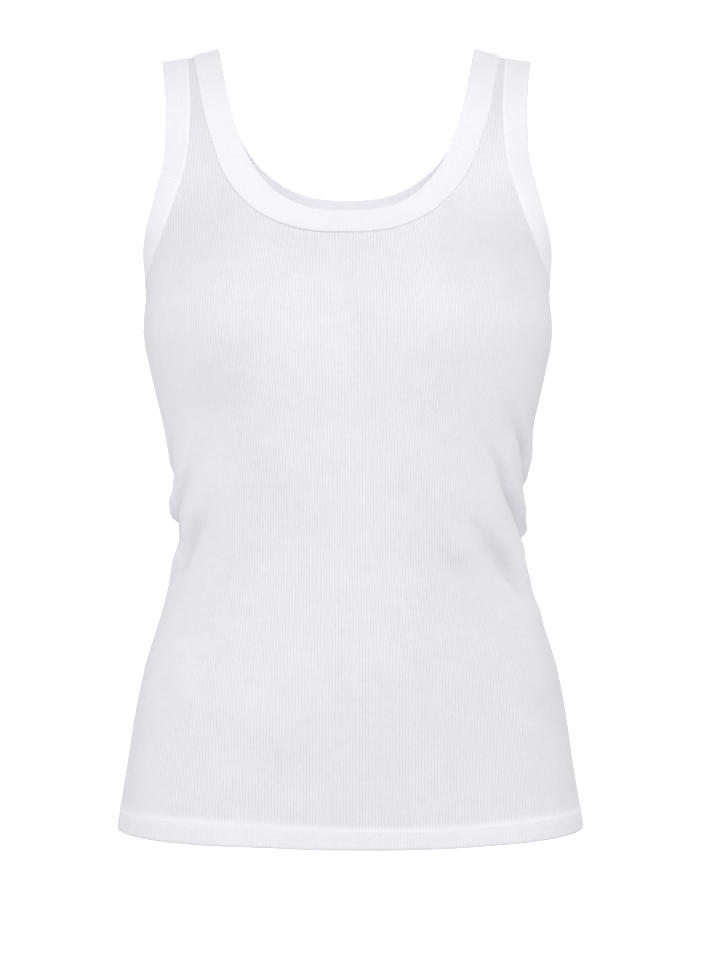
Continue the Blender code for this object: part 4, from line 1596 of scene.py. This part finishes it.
@dataclass
class TankTop:
    """The whole garment: two panels, three bindings and their stitching."""

    form: WornForm = field(default_factory=WornForm)
    panel_flat: tuple[float, float] = (0.43, 0.66)  # width and length as cut
    panel_area: float = 0.22  # less the neck and the armholes
    neck_flat: tuple[float, float] = (0.80, 0.040)
    arm_flat: tuple[float, float] = (0.48, 0.040)

    def __post_init__(self) -> None:
        """Works out the openings."""
        self.openings = Openings(self.form)

    def neck_binding(self) -> Binding:
        """The neck's binding.

        Returns:
            It, with the four half edges that it goes round.
        """
        left, right = self.openings.neck, self.openings.neck_right
        legs = (
            Leg(left[Side.FRONT], 1, False),
            Leg(left[Side.BACK], 1, True),
            Leg(right[Side.BACK], -1, False),
            Leg(right[Side.FRONT], -1, True),
        )
        name = "neck_binding_strip"
        return Binding(self.form, name, legs, stitch_rows=(0.06, 0.16), row_light=0.0)

    def arm_binding(self, word: str, side: int) -> Binding:
        """An armhole's binding.

        Args:
            word: left or right.
            side: 1 for the left and -1 for the right.

        Returns:
            It, with the two half edges that it goes round.
        """
        arm = self.openings.arm
        return Binding(
            self.form,
            f"armhole_binding_strip_{word}",
            (Leg(arm[Side.FRONT], side, False), Leg(arm[Side.BACK], side, True)),
            lip=0.0011,
            lip_painted_highlight=0.17,
            edge_painted_shadow=0.05,
            painted_shadow_fade=0.0,
            underarm_painted_light=0.22,
        )

    def build(self) -> None:
        """Builds, dresses and declares every piece."""
        groups = KnitGroups()
        rib, band = RIB_FINISH.make(groups), BAND_FINISH.make(groups)
        thread = ThreadFinish().make()
        for side in Side:
            panel = RibPanel(self.form, self.openings, side)
            node = f"{side.name.lower()}_panel"
            self.declare(panel.build(rib), node)
            self.sew(f"{node}_hem_stitches", panel.hem_lines(), thread)
        for binding, node, flat in (
            (self.neck_binding(), "neck_binding", self.neck_flat),
            (self.arm_binding("left", 1), "armhole_binding_left", self.arm_flat),
            (self.arm_binding("right", -1), "armhole_binding_right", self.arm_flat),
        ):
            self.declare(binding.build(band), node)
            rows = [binding.row_line(row) for row in binding.stitch_rows]
            self.sew(f"{node}_stitches", rows, thread)

    def sew(
        self, name: str, rows: list[np.ndarray], thread: bpy.types.Material
    ) -> None:
        """Sews rows of stitches.

        Args:
            name: the piece's name.
            rows: each row's points.
            thread: its finish.
        """
        seam = TwinNeedle(name, rows).build(thread)
        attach(seam, "root")
        log.info("%s: %d stitches", seam.name, len(seam.data.polygons) // STITCH_FACES)

    def declare(
        self,
        piece: bpy.types.Object,
        node: str,
    ) -> None:
        """Rides and replaces a piece: hangs it from the root and hides the solid it stands for.

        Args:
            piece: the piece.
            node: the solid that it stands for.
        """
        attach(piece, "root")
        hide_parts(node)
        log.info("%s: %d faces before its wall", piece.name, len(piece.data.polygons))


def main() -> None:
    """Builds the garment and its studio."""
    logging.basicConfig(level=logging.INFO, format="%(name)s: %(message)s")
    studio = Studio()
    studio.camera()
    studio.lights()
    studio.floor()
    TankTop().build()


if __name__ == "__main__":
    main()
